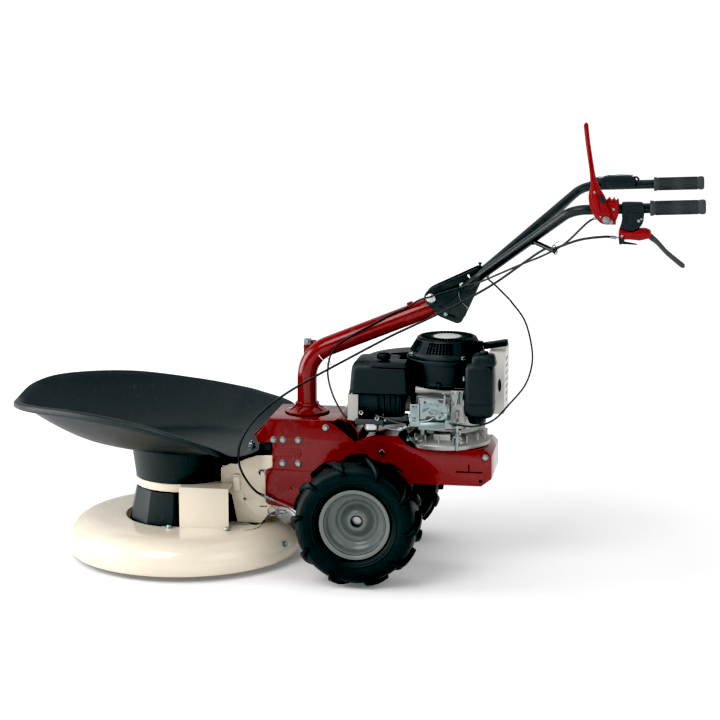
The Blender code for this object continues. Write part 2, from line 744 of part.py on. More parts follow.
def engine_base():
    """Sump casting with its round mounting flange."""
    z = ENGINE_BASE_Z
    top = z + ENGINE_BASE_HEIGHT
    bore = CRANK_R + RUNNING
    profile = [(bore, top), (0.086, top), (0.094, z + 0.030), (ENGINE_FLANGE_R, z + 0.011),
               (ENGINE_FLANGE_R, z), (bore, z)]
    obj = turned(profile, (CRANK_X, 0, 0), 28)
    part(obj, "engine_base", CAST, 0.45, 0.8)


def crankcase():
    """Crankcase block with the finned cylinder towards the fuel tank."""
    z = CRANKCASE_Z
    top = z + CRANKCASE_HEIGHT
    body = box((CRANKCASE_FRONT_X, -CRANKCASE_Y, z), (CRANKCASE_REAR_X, CRANKCASE_Y, top), 0.008)
    head = box((-0.010, TANK_FAR_Y + 0.008, z + 0.012),
               (CRANKCASE_FRONT_X + 0.010, CRANKCASE_Y - 0.004, top - 0.010), 0.006)
    bore = rod((CRANK_X, 0, z - 0.01), (CRANK_X, 0, top + 0.01), CRANK_R + RUNNING, 20)
    join(body, head)
    cut(body, bore)
    part(body, "crankcase", CAST, 0.5, 0.8)


def blower_outline(shrink):
    """Plan of the blower housing: a round fan case with a lobe over the cylinder."""
    radius = BLOWER_R - shrink
    near = TANK_FAR_Y + GAP + shrink
    far = 0.112 - shrink
    left = -0.028 + shrink
    start = math.atan2(near, -math.sqrt(radius ** 2 - near ** 2))
    sweep = 2 * math.pi - (start - math.pi / 2)
    ring = []
    for i in range(19):
        angle = start + sweep * i / 18
        ring.append((CRANK_X + radius * math.cos(angle), radius * math.sin(angle)))
    corner = 0.030
    ring += [(CRANK_X - 0.03, far), (left + corner, far), (left, far - corner), (left, near)]
    return ring


def blower_housing():
    """Fan housing, open below, with the cooling air hole in its top."""
    top = BLOWER_Z + BLOWER_HEIGHT
    body = level_plate([blower_outline(0.0)], BLOWER_Z, top)
    hollow = level_plate([blower_outline(BLOWER_WALL)], BLOWER_Z - 0.01, top - BLOWER_WALL)
    hole = rod((CRANK_X, 0, top - 0.02), (CRANK_X, 0, top + 0.01), FLYWHEEL_R + 0.003, 28)
    body = cut(body, hollow, hole)
    part(body, "blower_housing", BLACK, 0.35)


def recoil_cover():
    """Slatted starter cover, a hollow cone with a flat top."""
    base = RECOIL_Z
    top = RECOIL_TOP_Z
    wall = BLOWER_WALL
    profile = [(0.0, top), (RECOIL_TOP_R, top), (RECOIL_R - 0.003, base + 0.012),
               (RECOIL_R, base), (RECOIL_R - wall, base), (RECOIL_R - 0.003 - wall, base + 0.011),
               (RECOIL_TOP_R - wall, top - wall), (0.0, top - wall)]
    obj = turned(profile, (CRANK_X, 0, 0), 28, closed=False)
    part(obj, "recoil_cover", BLACK, 0.35)


def crankshaft():
    """Crankshaft with the two-groove belt pulley on its lower end."""
    groove = BELT_HEIGHT / 2 + RUNNING
    root = ENGINE_PULLEY_R - BELT_THICKNESS - ROOT_CLEARANCE
    rim_r = ENGINE_PULLEY_R
    top = BLOWER_Z + FLYWHEEL_HEIGHT + 0.012
    profile = [(0.0, top), (CRANK_R, top), (CRANK_R, TRAVEL_BELT_Z + groove + PULLEY_FLANGE)]
    for z in (TRAVEL_BELT_Z, MOWER_BELT_Z):
        profile += [(rim_r, z + groove + PULLEY_FLANGE), (rim_r, z + groove), (root, z + groove),
                    (root, z - groove), (rim_r, z - groove), (rim_r, z - groove - PULLEY_FLANGE)]
        if z == TRAVEL_BELT_Z:
            profile += [(CRANK_R + 0.008, z - groove - PULLEY_FLANGE),
                        (CRANK_R + 0.008, MOWER_BELT_Z + groove + PULLEY_FLANGE)]
    profile += [(0.0, MOWER_BELT_Z - groove - PULLEY_FLANGE)]
    obj = turned(profile, (CRANK_X, 0, 0), 18, closed=False)
    part(obj, "crankshaft", STEEL, 0.35, 1.0)


def flywheel():
    """Fan flywheel on the upper end of the crankshaft."""
    low = BLOWER_Z + 0.004
    bore = CRANK_R + GAP
    profile = [(bore, low + FLYWHEEL_HEIGHT), (0.030, low + FLYWHEEL_HEIGHT),
               (0.034, low + 0.008), (FLYWHEEL_R, low + 0.008), (FLYWHEEL_R, low), (bore, low)]
    disc = turned(profile, (CRANK_X, 0, 0), 20)
    vanes = []
    for i in range(8):
        vane = box((0.050, -0.0015, low + 0.006), (FLYWHEEL_R - 0.002, 0.0015,
                                                  low + FLYWHEEL_HEIGHT - 0.001))
        centre = Vector((CRANK_X, 0.0, 0.0))
        turn = Matrix.Rotation(2 * math.pi * i / 8, 4, 'Z')
        vane.location = centre + turn @ vane.location
        vane.rotation_euler = (0.0, 0.0, 2 * math.pi * i / 8)
        vanes.append(vane)
    join(disc, *vanes)
    part(disc, "flywheel", CAST, 0.5, 0.8)


def fuel_tank():
    """Moulded tank with a shoulder, a narrower lower half and a filler neck."""
    plan = [(TANK_LEFT_X, TANK_NEAR_Y), (TANK_RIGHT_X, TANK_NEAR_Y), (TANK_RIGHT_X, -0.068),
            (0.086, -0.048), (0.086, TANK_FAR_Y), (TANK_LEFT_X, TANK_FAR_Y)]
    upper = as_mesh(level_plate([plan], TANK_SHOULDER_Z, TANK_TOP_Z))
    edges = upper.modifiers.new("edges", 'BEVEL')
    edges.width = 0.014
    edges.segments = 2
    edges.limit_method = 'ANGLE'
    edges.angle_limit = math.radians(50)
    lower = box((TANK_LEFT_X + 0.010, TANK_NEAR_Y + 0.010, TANK_BOTTOM_Z),
                (TANK_RIGHT_X - 0.0125, TANK_FAR_Y - 0.010, TANK_SHOULDER_Z + 0.009), 0.008)
    neck = rod((FILLER_X, FILLER_Y, TANK_TOP_Z - 0.01),
               (FILLER_X, FILLER_Y, TANK_TOP_Z + FILLER_HEIGHT), CAP_R - 0.004, 20)
    join(upper, lower, neck)
    part(upper, "fuel_tank", BLACK, 0.4)


def fuel_cap():
    """Round screw cap on the filler neck."""
    z = TANK_TOP_Z + FILLER_HEIGHT + GAP
    cap = rod((FILLER_X, FILLER_Y, z), (FILLER_X, FILLER_Y, z + CAP_HEIGHT), CAP_R, 20)
    part(cap, "fuel_cap", BLACK, 0.4)


def carburettor():
    """Carburettor body under the tank with its round float bowl."""
    top = TANK_BOTTOM_Z - GAP
    body = box((-0.022, -0.132, top - 0.016), (0.050, -0.088, top), 0.002, 1)
    bowl = turned([(0.0, top - 0.012), (0.0195, top - 0.012), (0.0195, top - 0.030),
                   (0.010, top - 0.036), (0.0, top - 0.036)], (0.017, -0.112, 0), 20,
                  closed=False)
    join(body, bowl)
    part(body, "carburettor", ZINC, 0.35, 0.9)


def air_filter():
    """Air filter box with its raised snorkel cap."""
    body = box((FILTER_FRONT_X, FILTER_NEAR_Y, FILTER_BOTTOM_Z),
               (FILTER_REAR_X, -CRANKCASE_Y - GAP, FILTER_TOP_Z), 0.014)
    cap = box((FILTER_FRONT_X + 0.016, FILTER_NEAR_Y + 0.004, FILTER_TOP_Z - 0.01),
              (FILTER_REAR_X + 0.004, -0.100, FILTER_TOP_Z + 0.021), 0.008)
    foot = turned([(0.0, FILTER_BOTTOM_Z + 0.01), (0.026, FILTER_BOTTOM_Z + 0.01),
                   (0.018, FILTER_BOTTOM_Z - 0.016), (0.0, FILTER_BOTTOM_Z - 0.016)],
                  (0.290, -0.120, 0), 20, closed=False)
    join(body, cap, foot)
    part(body, "air_filter_box", BLACK, 0.35)


def governor_bracket():
    """Plated bracket of the governor and throttle on two stand-offs."""
    ring = [(0.117, 0.386), (0.136, 0.386), (0.140, 0.398), (0.190, 0.398), (0.190, 0.388),
            (0.214, 0.388), (0.214, 0.408), (0.205, 0.412), (0.205, 0.440), (0.196, 0.456),
            (0.142, 0.458), (0.138, 0.446), (0.117, 0.446)]
    plate = as_mesh(upright_plate([ring, circle(0.151, 0.450, 0.003, 10),
                                   circle(0.183, 0.418, 0.003, 10)], -0.126, -0.1235))
    posts = [rod((x, -0.125, 0.405), (x, -CRANKCASE_Y - GAP, 0.405), 0.005, 12)
             for x in (0.128, 0.198)]
    join(plate, *posts)
    part(plate, "governor_bracket", ZINC, 0.3, 0.9)


def muffler():
    """Exhaust silencer behind the crankcase, on a short flange."""
    front = MUFFLER_REAR_X - MUFFLER_THICKNESS
    body = box((front, -0.030, 0.404), (MUFFLER_REAR_X, 0.100, 0.563), 0.008)
    flange = box((CRANKCASE_REAR_X + GAP, -0.020, 0.415), (front + 0.005, 0.060, 0.455))
    join(body, flange)
    part(body, "muffler", CAST, 0.4, 0.6)


def starter():
    """Pull grip behind the starter cover, and the shown end of its rope."""
    share = (RECOIL_TOP_Z - STARTER_Z) / (RECOIL_HEIGHT - 0.012)
    wall_x = CRANK_X + RECOIL_TOP_R + (RECOIL_R - 0.003 - RECOIL_TOP_R) * share
    rope_start = wall_x + 0.0015
    rope_end = rope_start + ROPE_SHOWN
    rope = rod((rope_start, 0, STARTER_Z), (rope_end, 0, STARTER_Z), ROPE_R, 10)
    part(rope, "starter_rope", CREAM, 0.8)
    x = rope_end + GAP
    half = GRIP_BAR_HEIGHT / 2
    grip = box((x, -0.014, STARTER_Z - half), (x + GRIP_BAR_LENGTH, 0.014, STARTER_Z + half),
               0.004)
    part(grip, "starter_grip", BLACK, 0.45)


def head_frame():
    """Welded frame of the mowing head: ring band, deck strip, hitch plates and skirt legs."""
    low = BAND_TOP_Z - SHEET
    bore = BEARING_HOLE_R
    band = turned([(bore, BAND_TOP_Z), (BAND_R, BAND_TOP_Z), (BAND_R, BAND_TOP_Z - BAND_HEIGHT),
                   (BAND_R - SHEET + 0.001, BAND_TOP_Z - BAND_HEIGHT),
                   (BAND_R - SHEET + 0.001, low), (bore, low)], (DRUM_X, 0, 0), 24)
    inner = HEAD_Y - SHEET
    strip = box((DRUM_X + 0.095, -inner - 0.001, low + 0.0005),
                (-0.200, inner + 0.001, BAND_TOP_Z - 0.0005))
    plate = [(-0.380, BAND_TOP_Z - 0.010), (-0.380, BAND_TOP_Z + 0.038),
             (-0.355, BAND_TOP_Z + 0.050), (-0.290, 0.286),
             (-0.190, 0.290), (-0.190, 0.170), (-0.255, 0.132), (-0.275, 0.108),
             (-0.338, 0.108), (-0.352, 0.180)]
    holes = [circle(-0.318, 0.170, 0.004, 12)]
    plates = [upright_plate([plate] + holes, min(side * inner, side * HEAD_Y),
                            max(side * inner, side * HEAD_Y)) for side in (-1, 1)]
    legs = []
    for side in (-1, 1):
        out = side * LEG_Y
        back = side * (LEG_Y - 0.003)
        y_low, y_high = sorted((out, back))
        legs.append(box((LEG_FRONT_X, y_low, SKIRT_TOP_Z + GAP),
                        (LEG_REAR_X, y_high, BAND_TOP_Z - 0.0003)))
        y_low, y_high = sorted((out, side * (HEAD_Y - 0.002)))
        legs.append(box((LEG_FRONT_X + 0.0003, y_low + 0.0002, low + 0.0002),
                        (LEG_REAR_X - 0.0003, y_high - 0.0002, BAND_TOP_Z - 0.0002)))
        y_low, y_high = sorted((back, side * (LEG_Y + 0.024)))
        legs.append(box((LEG_FRONT_X - 0.048, y_low, SKIRT_TOP_Z + GAP + 0.0001),
                        (LEG_REAR_X + 0.006, y_high, SKIRT_TOP_Z + GAP + 0.003)))
    join(band, strip, *plates, *legs)
    part(band, "head_frame", CREAM, 0.2)


def skirt_profile(grow):
    """Outer line of the skirt from its top hole to its lower lip, moved outwards by grow."""
    shoulder = SKIRT_R - 0.075
    line = [(SKIRT_HOLE_R, SKIRT_TOP_Z), (shoulder, SKIRT_TOP_Z),
            (SKIRT_R - 0.028, SKIRT_TOP_Z - 0.012), (SKIRT_R - 0.006, SKIRT_TOP_Z - 0.037),
            (SKIRT_R, SKIRT_TOP_Z - 0.060), (SKIRT_R - 0.009, SKIRT_BOTTOM_Z)]
    moved = []
    for i, (r, z) in enumerate(line):
        before = line[max(i - 1, 0)]
        after = line[min(i + 1, len(line) - 1)]
        along = Vector((after[0] - before[0], after[1] - before[1])).normalized()
        moved.append((r - along.y * grow, z + along.x * grow))
    return moved


def skirt():
    """Pressed ring over the blades, open at the back, and the panel that closes it there."""
    outer = skirt_profile(0.0)
    sweep = 360.0 - SKIRT_GAP_DEG
    ring = turned(outer, (DRUM_X, 0, 0), round(sweep / SKIRT_STEP_DEG), sweep,
                  SKIRT_GAP_DEG / 2, closed=False)
    wall = ring.modifiers.new("wall", 'SOLIDIFY')
    wall.thickness = SKIRT_WALL
    wall.offset = -1.0
    part(ring, "skirt", CREAM, 0.15)
    panel_line = skirt_profile(SKIRT_WALL + GAP)[1:]
    span = SKIRT_GAP_DEG + 2 * SKIRT_STEP_DEG
    panel = turned(panel_line, (DRUM_X, 0, 0), round(span / SKIRT_STEP_DEG), span, -span / 2,
                   closed=False)
    wall = panel.modifiers.new("wall", 'SOLIDIFY')
    wall.thickness = SKIRT_WALL
    wall.offset = -1.0
    part(panel, "skirt_rear_panel", CREAM, 0.3)


def upper_cover():
    """Black cover of the drum pulley, open below and slotted behind for the belt."""
    z = BAND_TOP_Z + GAP
    top = COVER_TOP_Z
    wall = 0.003
    profile = [(0.0, top), (COVER_TOP_R, top), (COVER_BOTTOM_R, z), (COVER_BOTTOM_R - wall, z),
               (COVER_TOP_R - wall, top - wall), (0.0, top - wall)]
    shell = turned(profile, (DRUM_X, 0, 0), 32, closed=False)
    reach = DRUM_PULLEY_R + 0.006
    slot = box((DRUM_X + 0.090, -reach, z - 0.01),
               (DRUM_X + 0.150, reach, MOWER_BELT_Z + COVER_SLOT_OVER_BELT))
    cut(shell, slot)
    part(shell, "upper_cover", BLACK, 0.4)


def bearing_housing():
    """Flanged bearing tube bolted on the frame's ring."""
    flange = BAND_TOP_Z + GAP
    bore = DRUM_SHAFT_R + RUNNING
    profile = [(bore, MOWER_BELT_Z - 0.0125), (0.024, MOWER_BELT_Z - 0.0125),
               (0.024, flange + 0.006), (BEARING_FLANGE_R, flange + 0.006),
               (BEARING_FLANGE_R, flange), (BEARING_R, flange), (BEARING_R, 0.120),
               (bore, 0.120)]
    obj = turned(profile, (DRUM_X, 0, 0), 24)
    part(obj, "bearing_housing", CAST, 0.5, 0.7)


def drum():
    """Drum shaft with its pulley, the drum cone and the cutting disc with its blade pins."""
    groove = BELT_HEIGHT / 2 + RUNNING
    high = MOWER_BELT_Z + groove
    low = MOWER_BELT_Z - groove
    root = DRUM_PULLEY_R - BELT_THICKNESS - ROOT_CLEARANCE
    rim_r = DRUM_PULLEY_R
    shaft_end = 0.012
    top = high + PULLEY_FLANGE + 0.005
    profile = [(0.0, top), (DRUM_SHAFT_R, top), (DRUM_SHAFT_R, high + PULLEY_FLANGE),
               (rim_r, high + PULLEY_FLANGE), (rim_r, high), (root, high), (root, low),
               (rim_r, low), (rim_r, low - PULLEY_FLANGE), (DRUM_SHAFT_R, low - PULLEY_FLANGE),
               (DRUM_SHAFT_R, shaft_end), (0.0, shaft_end)]
    part(turned(profile, (DRUM_X, 0, 0), 20, closed=False), "drum_shaft", STEEL, 0.35, 1.0)
    foot = DISC_Z + DISC_THICKNESS + GAP
    wall = DRUM_WALL
    bore = BEARING_R + 0.0025
    profile = [(bore, DRUM_TOP_Z), (DRUM_TOP_R, DRUM_TOP_Z), (DRUM_BOTTOM_R, foot),
               (DRUM_BOTTOM_R - 0.030, foot), (DRUM_BOTTOM_R - 0.030, foot + wall),
               (DRUM_BOTTOM_R - wall - 0.0005, foot + wall),
               (DRUM_TOP_R - wall, DRUM_TOP_Z - wall), (bore, DRUM_TOP_Z - wall)]
    part(turned(profile, (DRUM_X, 0, 0), 12), "drum_cone", BLACK, 0.4)
    bore = DRUM_SHAFT_R + GAP
    plane = DISC_Z + DISC_THICKNESS
    profile = [(bore, plane + DISC_HUB_HEIGHT), (0.032, plane + DISC_HUB_HEIGHT),
               (0.032, plane), (DISC_R, plane), (DISC_R, DISC_Z), (bore, DISC_Z)]
    disc = turned(profile, (DRUM_X, 0, 0), 30)
    pins = []
    for i in range(BLADES):
        angle = blade_angle(i)
        x = DRUM_X + BLADE_PIVOT_R * math.cos(angle)
        y = BLADE_PIVOT_R * math.sin(angle)
        pins.append(rod((x, y, blade_z() - 0.004), (x, y, DISC_Z + 0.002), BLADE_PIN_R, 10))
        pins.append(rod((x, y, blade_z() - 0.008), (x, y, blade_z() - 0.0032),
                        BLADE_PIN_R + 0.005, 10))
    join(disc, *pins)
    part(disc, "cutting_disc", STEEL, 0.45, 0.8)


def blade_angle(index):
    """Direction of a blade from the drum axis; the first points to the left side."""
    return math.radians(-90 + index * 360 / BLADES)


def blade_z():
    """Middle height of the blades under the disc."""
    return DISC_Z - 0.0008 - BLADE_THICKNESS / 2


def blade(index):
    """Free-swinging knife with one hole, bevelled at its tip."""
    half = BLADE_WIDTH / 2
    length = BLADE_LENGTH - BLADE_TAIL
    ring = [(-BLADE_TAIL, -half + 0.006), (-BLADE_TAIL + 0.006, -half), (length - 0.004, -half),
            (length, -half + 0.008), (length, half - 0.008), (length - 0.004, half),
            (-BLADE_TAIL + 0.006, half), (-BLADE_TAIL, half - 0.006)]
    obj = outline([ring, circle(0, 0, BLADE_PIN_R + RUNNING, 12)], BLADE_THICKNESS)
    angle = blade_angle(index)
    obj.rotation_euler = (0.0, 0.0, angle)
    obj.location = (DRUM_X + BLADE_PIVOT_R * math.cos(angle),
                    BLADE_PIVOT_R * math.sin(angle), blade_z())
    part(obj, f"blade_{index + 1}", STEEL, 0.3, 1.0)


def skid():
    """Sliding dish under the drum that carries the head on the ground."""
    bore = DRUM_SHAFT_R + RUNNING
    wall = SKID_THICKNESS
    profile = [(bore, DISC_Z - GAP), (0.028, DISC_Z - GAP), (0.028, wall),
               (SKID_FLAT_R - 0.002, wall), (SKID_R - 0.003, SKID_RISE + wall),
               (SKID_R, SKID_RISE), (SKID_FLAT_R, 0.0), (bore, 0.0)]
    part(turned(profile, (DRUM_X, 0, 0), 28), "skid_dish", STEEL, 0.4, 0.9)


def dish_rim(share):
    """Point of the dish rim at a share of one turn from its tip, on a curve through DISH_RIM."""
    place = share * len(DISH_RIM)
    first = math.floor(place + 0.000001)
    t = place - first
    a, b, c, d = (Vector(DISH_RIM[(first + step) % len(DISH_RIM)]) for step in (-1, 0, 1, 2))
    point = (b * 2 + (c - a) * t + (a * 2 - b * 5 + c * 4 - d) * t ** 2
             + (b * 3 - a - c * 3 + d) * t ** 3) / 2
    x = DISH_FRONT_X + (DISH_REAR_X - DISH_FRONT_X) * point.x
    return x, DISH_HALF_WIDTH * point.y, DISH_FLOOR_Z + DISH_DEPTH * point.z


def dish():
    """Collecting dish: a flat-floored bowl with a turned-down lip, and its block behind."""
    lowest = DISH_BLOCK_Z - 0.0055
    rings = (0.25, 0.5, 0.62, 0.76, 0.89, 1.0)
    steps = 2 * len(DISH_RIM)
    centre_x = DRUM_X
    mesh = bpy.data.meshes.new("dish")
    bm = bmesh.new()
    points = [bm.verts.new((share, 0.0, 0.0)) for share in (0.0,) + rings + (1.1,)]
    edges = [bm.edges.new(pair) for pair in zip(points, points[1:])]
    bmesh.ops.spin(bm, geom=points + edges, cent=(0, 0, 0), axis=(0, 0, 1), dvec=(0, 0, 0),
                   angle=2 * math.pi, steps=steps, use_merge=True)
    bmesh.ops.remove_doubles(bm, verts=bm.verts, dist=0.000001)
    for vert in bm.verts:
        share = math.hypot(vert.co.x, vert.co.y)
        x, y, z = dish_rim(-math.atan2(vert.co.y, -vert.co.x) / (2 * math.pi))
        outward = Vector((x - centre_x, y, 0.0)).normalized()
        if share > 1.05:
            vert.co = Vector((x, y, max(z - DISH_LIP_DROP, lowest))) + outward * DISH_LIP
        else:
            rise = max((share - DISH_FLAT) / (1 - DISH_FLAT), 0.0) ** DISH_CURVE
            vert.co = (centre_x + (x - centre_x) * share, y * share,
                       DISH_FLOOR_Z + (z - DISH_FLOOR_Z) * rise)
    bmesh.ops.recalc_face_normals(bm, faces=bm.faces)
    if sum(face.normal.z for face in bm.faces) < 0:
        bmesh.ops.reverse_faces(bm, faces=bm.faces)
    bm.to_mesh(mesh)
    bm.free()
    shell = new_object("dish", mesh)
    wall = shell.modifiers.new("wall", 'SOLIDIFY')
    wall.thickness = DISH_WALL
    wall.offset = -1.0
    half = DISH_BLOCK_WIDTH / 2
    block = box((DISH_REAR_X - 0.016, -half, DISH_BLOCK_Z),
                (DISH_BLOCK_REAR_X, half, DISH_BLOCK_Z + DISH_BLOCK_HEIGHT), 0.002, 1)
    join(shell, block)
    part(shell, "dish", BLACK, 0.35)


def column_axis_point(x):
    """Height of the sloped column axis at x."""
    slope = math.tan(math.radians(COLUMN_SLOPE_DEG))
    turn = math.radians(90 - COLUMN_SLOPE_DEG)
    reach = COLUMN_BEND_R * math.tan(turn / 2)
    return COLUMN_BEND_Z + reach + (x - COLUMN_X) * slope


def column():
    """Bent steering column with its foot flange, collar, pivot boss and lock rod lug."""
    foot = TOP_PLATE_Z + GAP
    corner = (COLUMN_X, 0.0, column_axis_point(COLUMN_X))
    end = (COLUMN_END_X, 0.0, column_axis_point(COLUMN_END_X))
    path = rounded_path([(COLUMN_X, 0.0, foot + 0.002), corner, end], [COLUMN_BEND_R], 6)
    bar = as_mesh(tube(path, COLUMN_R, 6))
    flange_top = foot + COLUMN_FLANGE
    base = turned([(0.0, foot + 0.028), (COLUMN_COLLAR_R, foot + 0.028),
                   (COLUMN_COLLAR_R, foot + 0.019), (COLUMN_COLLAR_R + 0.001, foot + 0.018),
                   (COLUMN_FLANGE_R - 0.008, flange_top), (COLUMN_FLANGE_R, flange_top),
                   (COLUMN_FLANGE_R, foot), (0.0, foot)], (COLUMN_X, 0, 0), 24, closed=False)
    boss = rod((PIVOT_X, -COLUMN_R - 0.001, PIVOT_Z), (PIVOT_X, COLUMN_R + 0.001, PIVOT_Z),
               PIVOT_BOSS_R, 20)
    lug = box((LOCK_X - 0.012, 0.0, LUG_Z), (LOCK_X + 0.012, LOCK_Y + 0.012, LUG_Z + 0.010))
    guide = rod((LOCK_X, LOCK_Y, foot - 0.01), (LOCK_X, LOCK_Y, LUG_Z + 0.02),
                LOCK_R + RUNNING, 16)
    reach = BRACKET_Y + GAP
    bolt = rod((PIVOT_X, -reach - 0.006, PIVOT_Z), (PIVOT_X, reach + 0.006, PIVOT_Z),
               PIVOT_R, 14)
    heads = [rod((PIVOT_X, side * reach, PIVOT_Z), (PIVOT_X, side * (reach + 0.006), PIVOT_Z),
                 PIVOT_HEAD_R, 16) for side in (-1, 1)]
    join(bar, base, boss, lug)
    cut(bar, guide)
    join(bar, bolt, *heads)
    part(bar, "column_tube", RED, 0.25, pivot=(COLUMN_X, 0.0, foot))
    pin = rod((LOCK_X, LOCK_Y, foot + 0.0002), (LOCK_X, LOCK_Y, LOCK_TOP_Z), LOCK_R, 16)
    half = LOCK_HEAD / 2
    head = box((LOCK_X - half, LOCK_Y - half, LOCK_TOP_Z - 0.002),
               (LOCK_X + half, LOCK_Y + half, LOCK_TOP_Z + 0.024), 0.002, 1)
    knob = rod((LOCK_X + half - 0.002, LOCK_Y, LOCK_TOP_Z + 0.012),
               (LOCK_X + half + 0.016, LOCK_Y, LOCK_TOP_Z + 0.012), 0.007, 12)
    join(pin, head, knob)
    part(pin, "lock_rod", RED, 0.3)


def bracket():
    """Handlebar bracket: two cheek plates with a spacer between them."""
    ring = [(0.142, 0.690), (0.139, 0.702), (0.144, 0.714), (0.156, 0.7225), (0.270, 0.777),
            (0.279, 0.777), (0.284, 0.768), (0.282, 0.742), (0.237, 0.640), (0.226, 0.634),
            (0.178, 0.652)]
    hole = circle(PIVOT_X, PIVOT_Z, PIVOT_R + 0.0003, 14)
    slot = [(0.197, 0.6575), (0.199, 0.6615), (0.221, 0.6545), (0.219, 0.6505)]
    inner = BRACKET_Y - BRACKET_SHEET
    cheeks = [as_mesh(upright_plate([ring, hole, slot], min(side * inner, side * BRACKET_Y),
                                    max(side * inner, side * BRACKET_Y))) for side in (-1, 1)]
    spacer = box((0.236, -inner - 0.001, 0.705), (0.262, inner + 0.001, 0.735))
    web = box((0.246, -inner - 0.001, 0.730), (0.275, inner + 0.001, 0.752))
    body = join(spacer, web, *cheeks)
    part(body, "handlebar_bracket", BLACK, 0.35, pivot=(PIVOT_X, 0.0, PIVOT_Z))


def bar_corners(side):
    """Corner points of one handle tube's centre line."""
    y = BRACKET_Y + TUBE_R + BRACKET_GAP
    return [(0.243, side * y, 0.7275), (0.283, side * y, 0.760),
            (BAR_BEND_X, side * GRIP_Y, BAR_BEND_Z), (BAR_END_X, side * GRIP_Y, BAR_END_Z)]


def handle_tubes():
    """Both handle tubes with their closed rubber grips."""
    for side, label in ((-1, "left"), (1, "right")):
        path = rounded_path(bar_corners(side), [0.060, TUBE_BEND_R], 5)
        bar = tube(path, TUBE_R, 3)
        if side < 0:
            bar = cable_hanger(bar)
        part(bar, f"handle_tube_{label}", BLACK, 0.35)
        bore = TUBE_R + GAP
        profile = [(0.0, GRIP_LENGTH), (GRIP_R - 0.003, GRIP_LENGTH),
                   (GRIP_R + 0.001, GRIP_LENGTH - 0.004), (GRIP_R + 0.001, GRIP_LENGTH - 0.012),
                   (GRIP_R, GRIP_LENGTH - 0.014), (GRIP_R, 0.010), (GRIP_R + 0.0015, 0.008),
                   (GRIP_R + 0.0015, 0.0), (bore, 0.0), (bore, GRIP_LENGTH - GRIP_WALL),
                   (0.0, GRIP_LENGTH - GRIP_WALL)]
        direction = Vector((BAR_END_X - BAR_BEND_X, 0.0, BAR_END_Z - BAR_BEND_Z)).normalized()
        tip = Vector((BAR_END_X, side * GRIP_Y, BAR_END_Z)) + direction * GAP
        start = tip - direction * (GRIP_LENGTH - GRIP_WALL)
        grip = turned(profile, start, 16, closed=False)
        grip.rotation_euler = direction.to_track_quat('Z', 'Y').to_euler()
        part(grip, f"grip_{label}", RUBBER, 0.7)


def bar_height(x):
    """Height of the handle tube's centre line behind its bend."""
    return BAR_BEND_Z + (x - BAR_BEND_X) * (BAR_END_Z - BAR_BEND_Z) / (BAR_END_X - BAR_BEND_X)


def cable_hanger(bar):
    """Weld the strip that carries the cables under the left handle tube."""
    corners = [Vector(c) for c in bar_corners(-1)]
    seat = corners[1].lerp(corners[2], 0.56)
    along = (corners[2] - corners[1]).normalized()
    down = Vector((0.62, 0.0, -0.78))
    down = (down - along * down.dot(along)).normalized()
    start = seat + down * (TUBE_R - 0.004)
    strip = rod(start, start + down * HANGER_LENGTH, 0.005, 12)
    return join(bar, strip)


def engage_lever():
    """Toothed clamp on the left handle and the red engaging lever that swings beside it."""
    y = -GRIP_Y
    out = y - TUBE_R - 0.005
    teeth = [(0.0, 0.980), (0.0025, 0.987), (0.008, 0.981), (0.0115, 0.989), (0.018, 0.982),
             (0.023, 0.990), (0.029, 0.983)]
    ring = [(CLAMP_FRONT_X, 0.950), (CLAMP_FRONT_X + 0.005, 0.930), (CLAMP_REAR_X - 0.020, 0.927),
            (CLAMP_REAR_X - 0.006, 0.934), (CLAMP_REAR_X, 0.950)]
    ring += [(CLAMP_REAR_X - back, z) for back, z in teeth]
    ring += [(CLAMP_FRONT_X, 0.984)]
    body = as_mesh(upright_plate([ring], out, y + TUBE_R + 0.005))
    x = CLAMP_FRONT_X - 0.01
    bore = rod((x, y, bar_height(x)), (CLAMP_REAR_X + 0.01, y, bar_height(CLAMP_REAR_X + 0.01)),
               TUBE_R + GAP, 20)
    cut(body, bore)
    part(body, "lever_clamp", RED, 0.35)
    line = ((-0.057, 1.160), (-0.052, 1.167), (-0.046, 1.163), (-0.041, 1.120), (-0.026, 1.035),
            (-0.013, 1.008), (-0.001, 0.990), (0.001, 0.972), (0.009, 0.958), (0.013, 0.944),
            (0.009, 0.931), (-0.001, 0.926), (-0.015, 0.931), (-0.031, 0.950), (-0.041, 0.975),
            (-0.043, 0.998), (-0.036, 1.022), (-0.052, 1.120))
    ring = [(ENGAGE_PIVOT_X + x, z) for x, z in line]
    hole = circle(ENGAGE_PIVOT_X, ENGAGE_PIVOT_Z, 0.004 + RUNNING, 12)
    near = out - 0.0031 - ENGAGE_THICKNESS
    far = out - 0.0031
    lever = as_mesh(upright_plate([ring, hole], near, far))
    part(lever, "engage_lever", RED, 0.3, pivot=(ENGAGE_PIVOT_X, y, ENGAGE_PIVOT_Z))
    return near


def clamp_pin(near):
    """Pivot pin of the engaging lever, made in one with the clamp."""
    y = -GRIP_Y
    out = y - TUBE_R - 0.005
    clamp = bpy.data.objects["lever_clamp"]
    place = (ENGAGE_PIVOT_X, ENGAGE_PIVOT_Z)
    pin = rod((place[0], near - 0.004, place[1]), (place[0], out + 0.004, place[1]), 0.004, 12)
    collar = rod((place[0], out - 0.0028, place[1]), (place[0], out + 0.004, place[1]), 0.009, 12)
    head = rod((place[0], near - 0.006, place[1]), (place[0], near - 0.0004, place[1]), 0.007, 12)
    join(clamp, pin, collar, head)


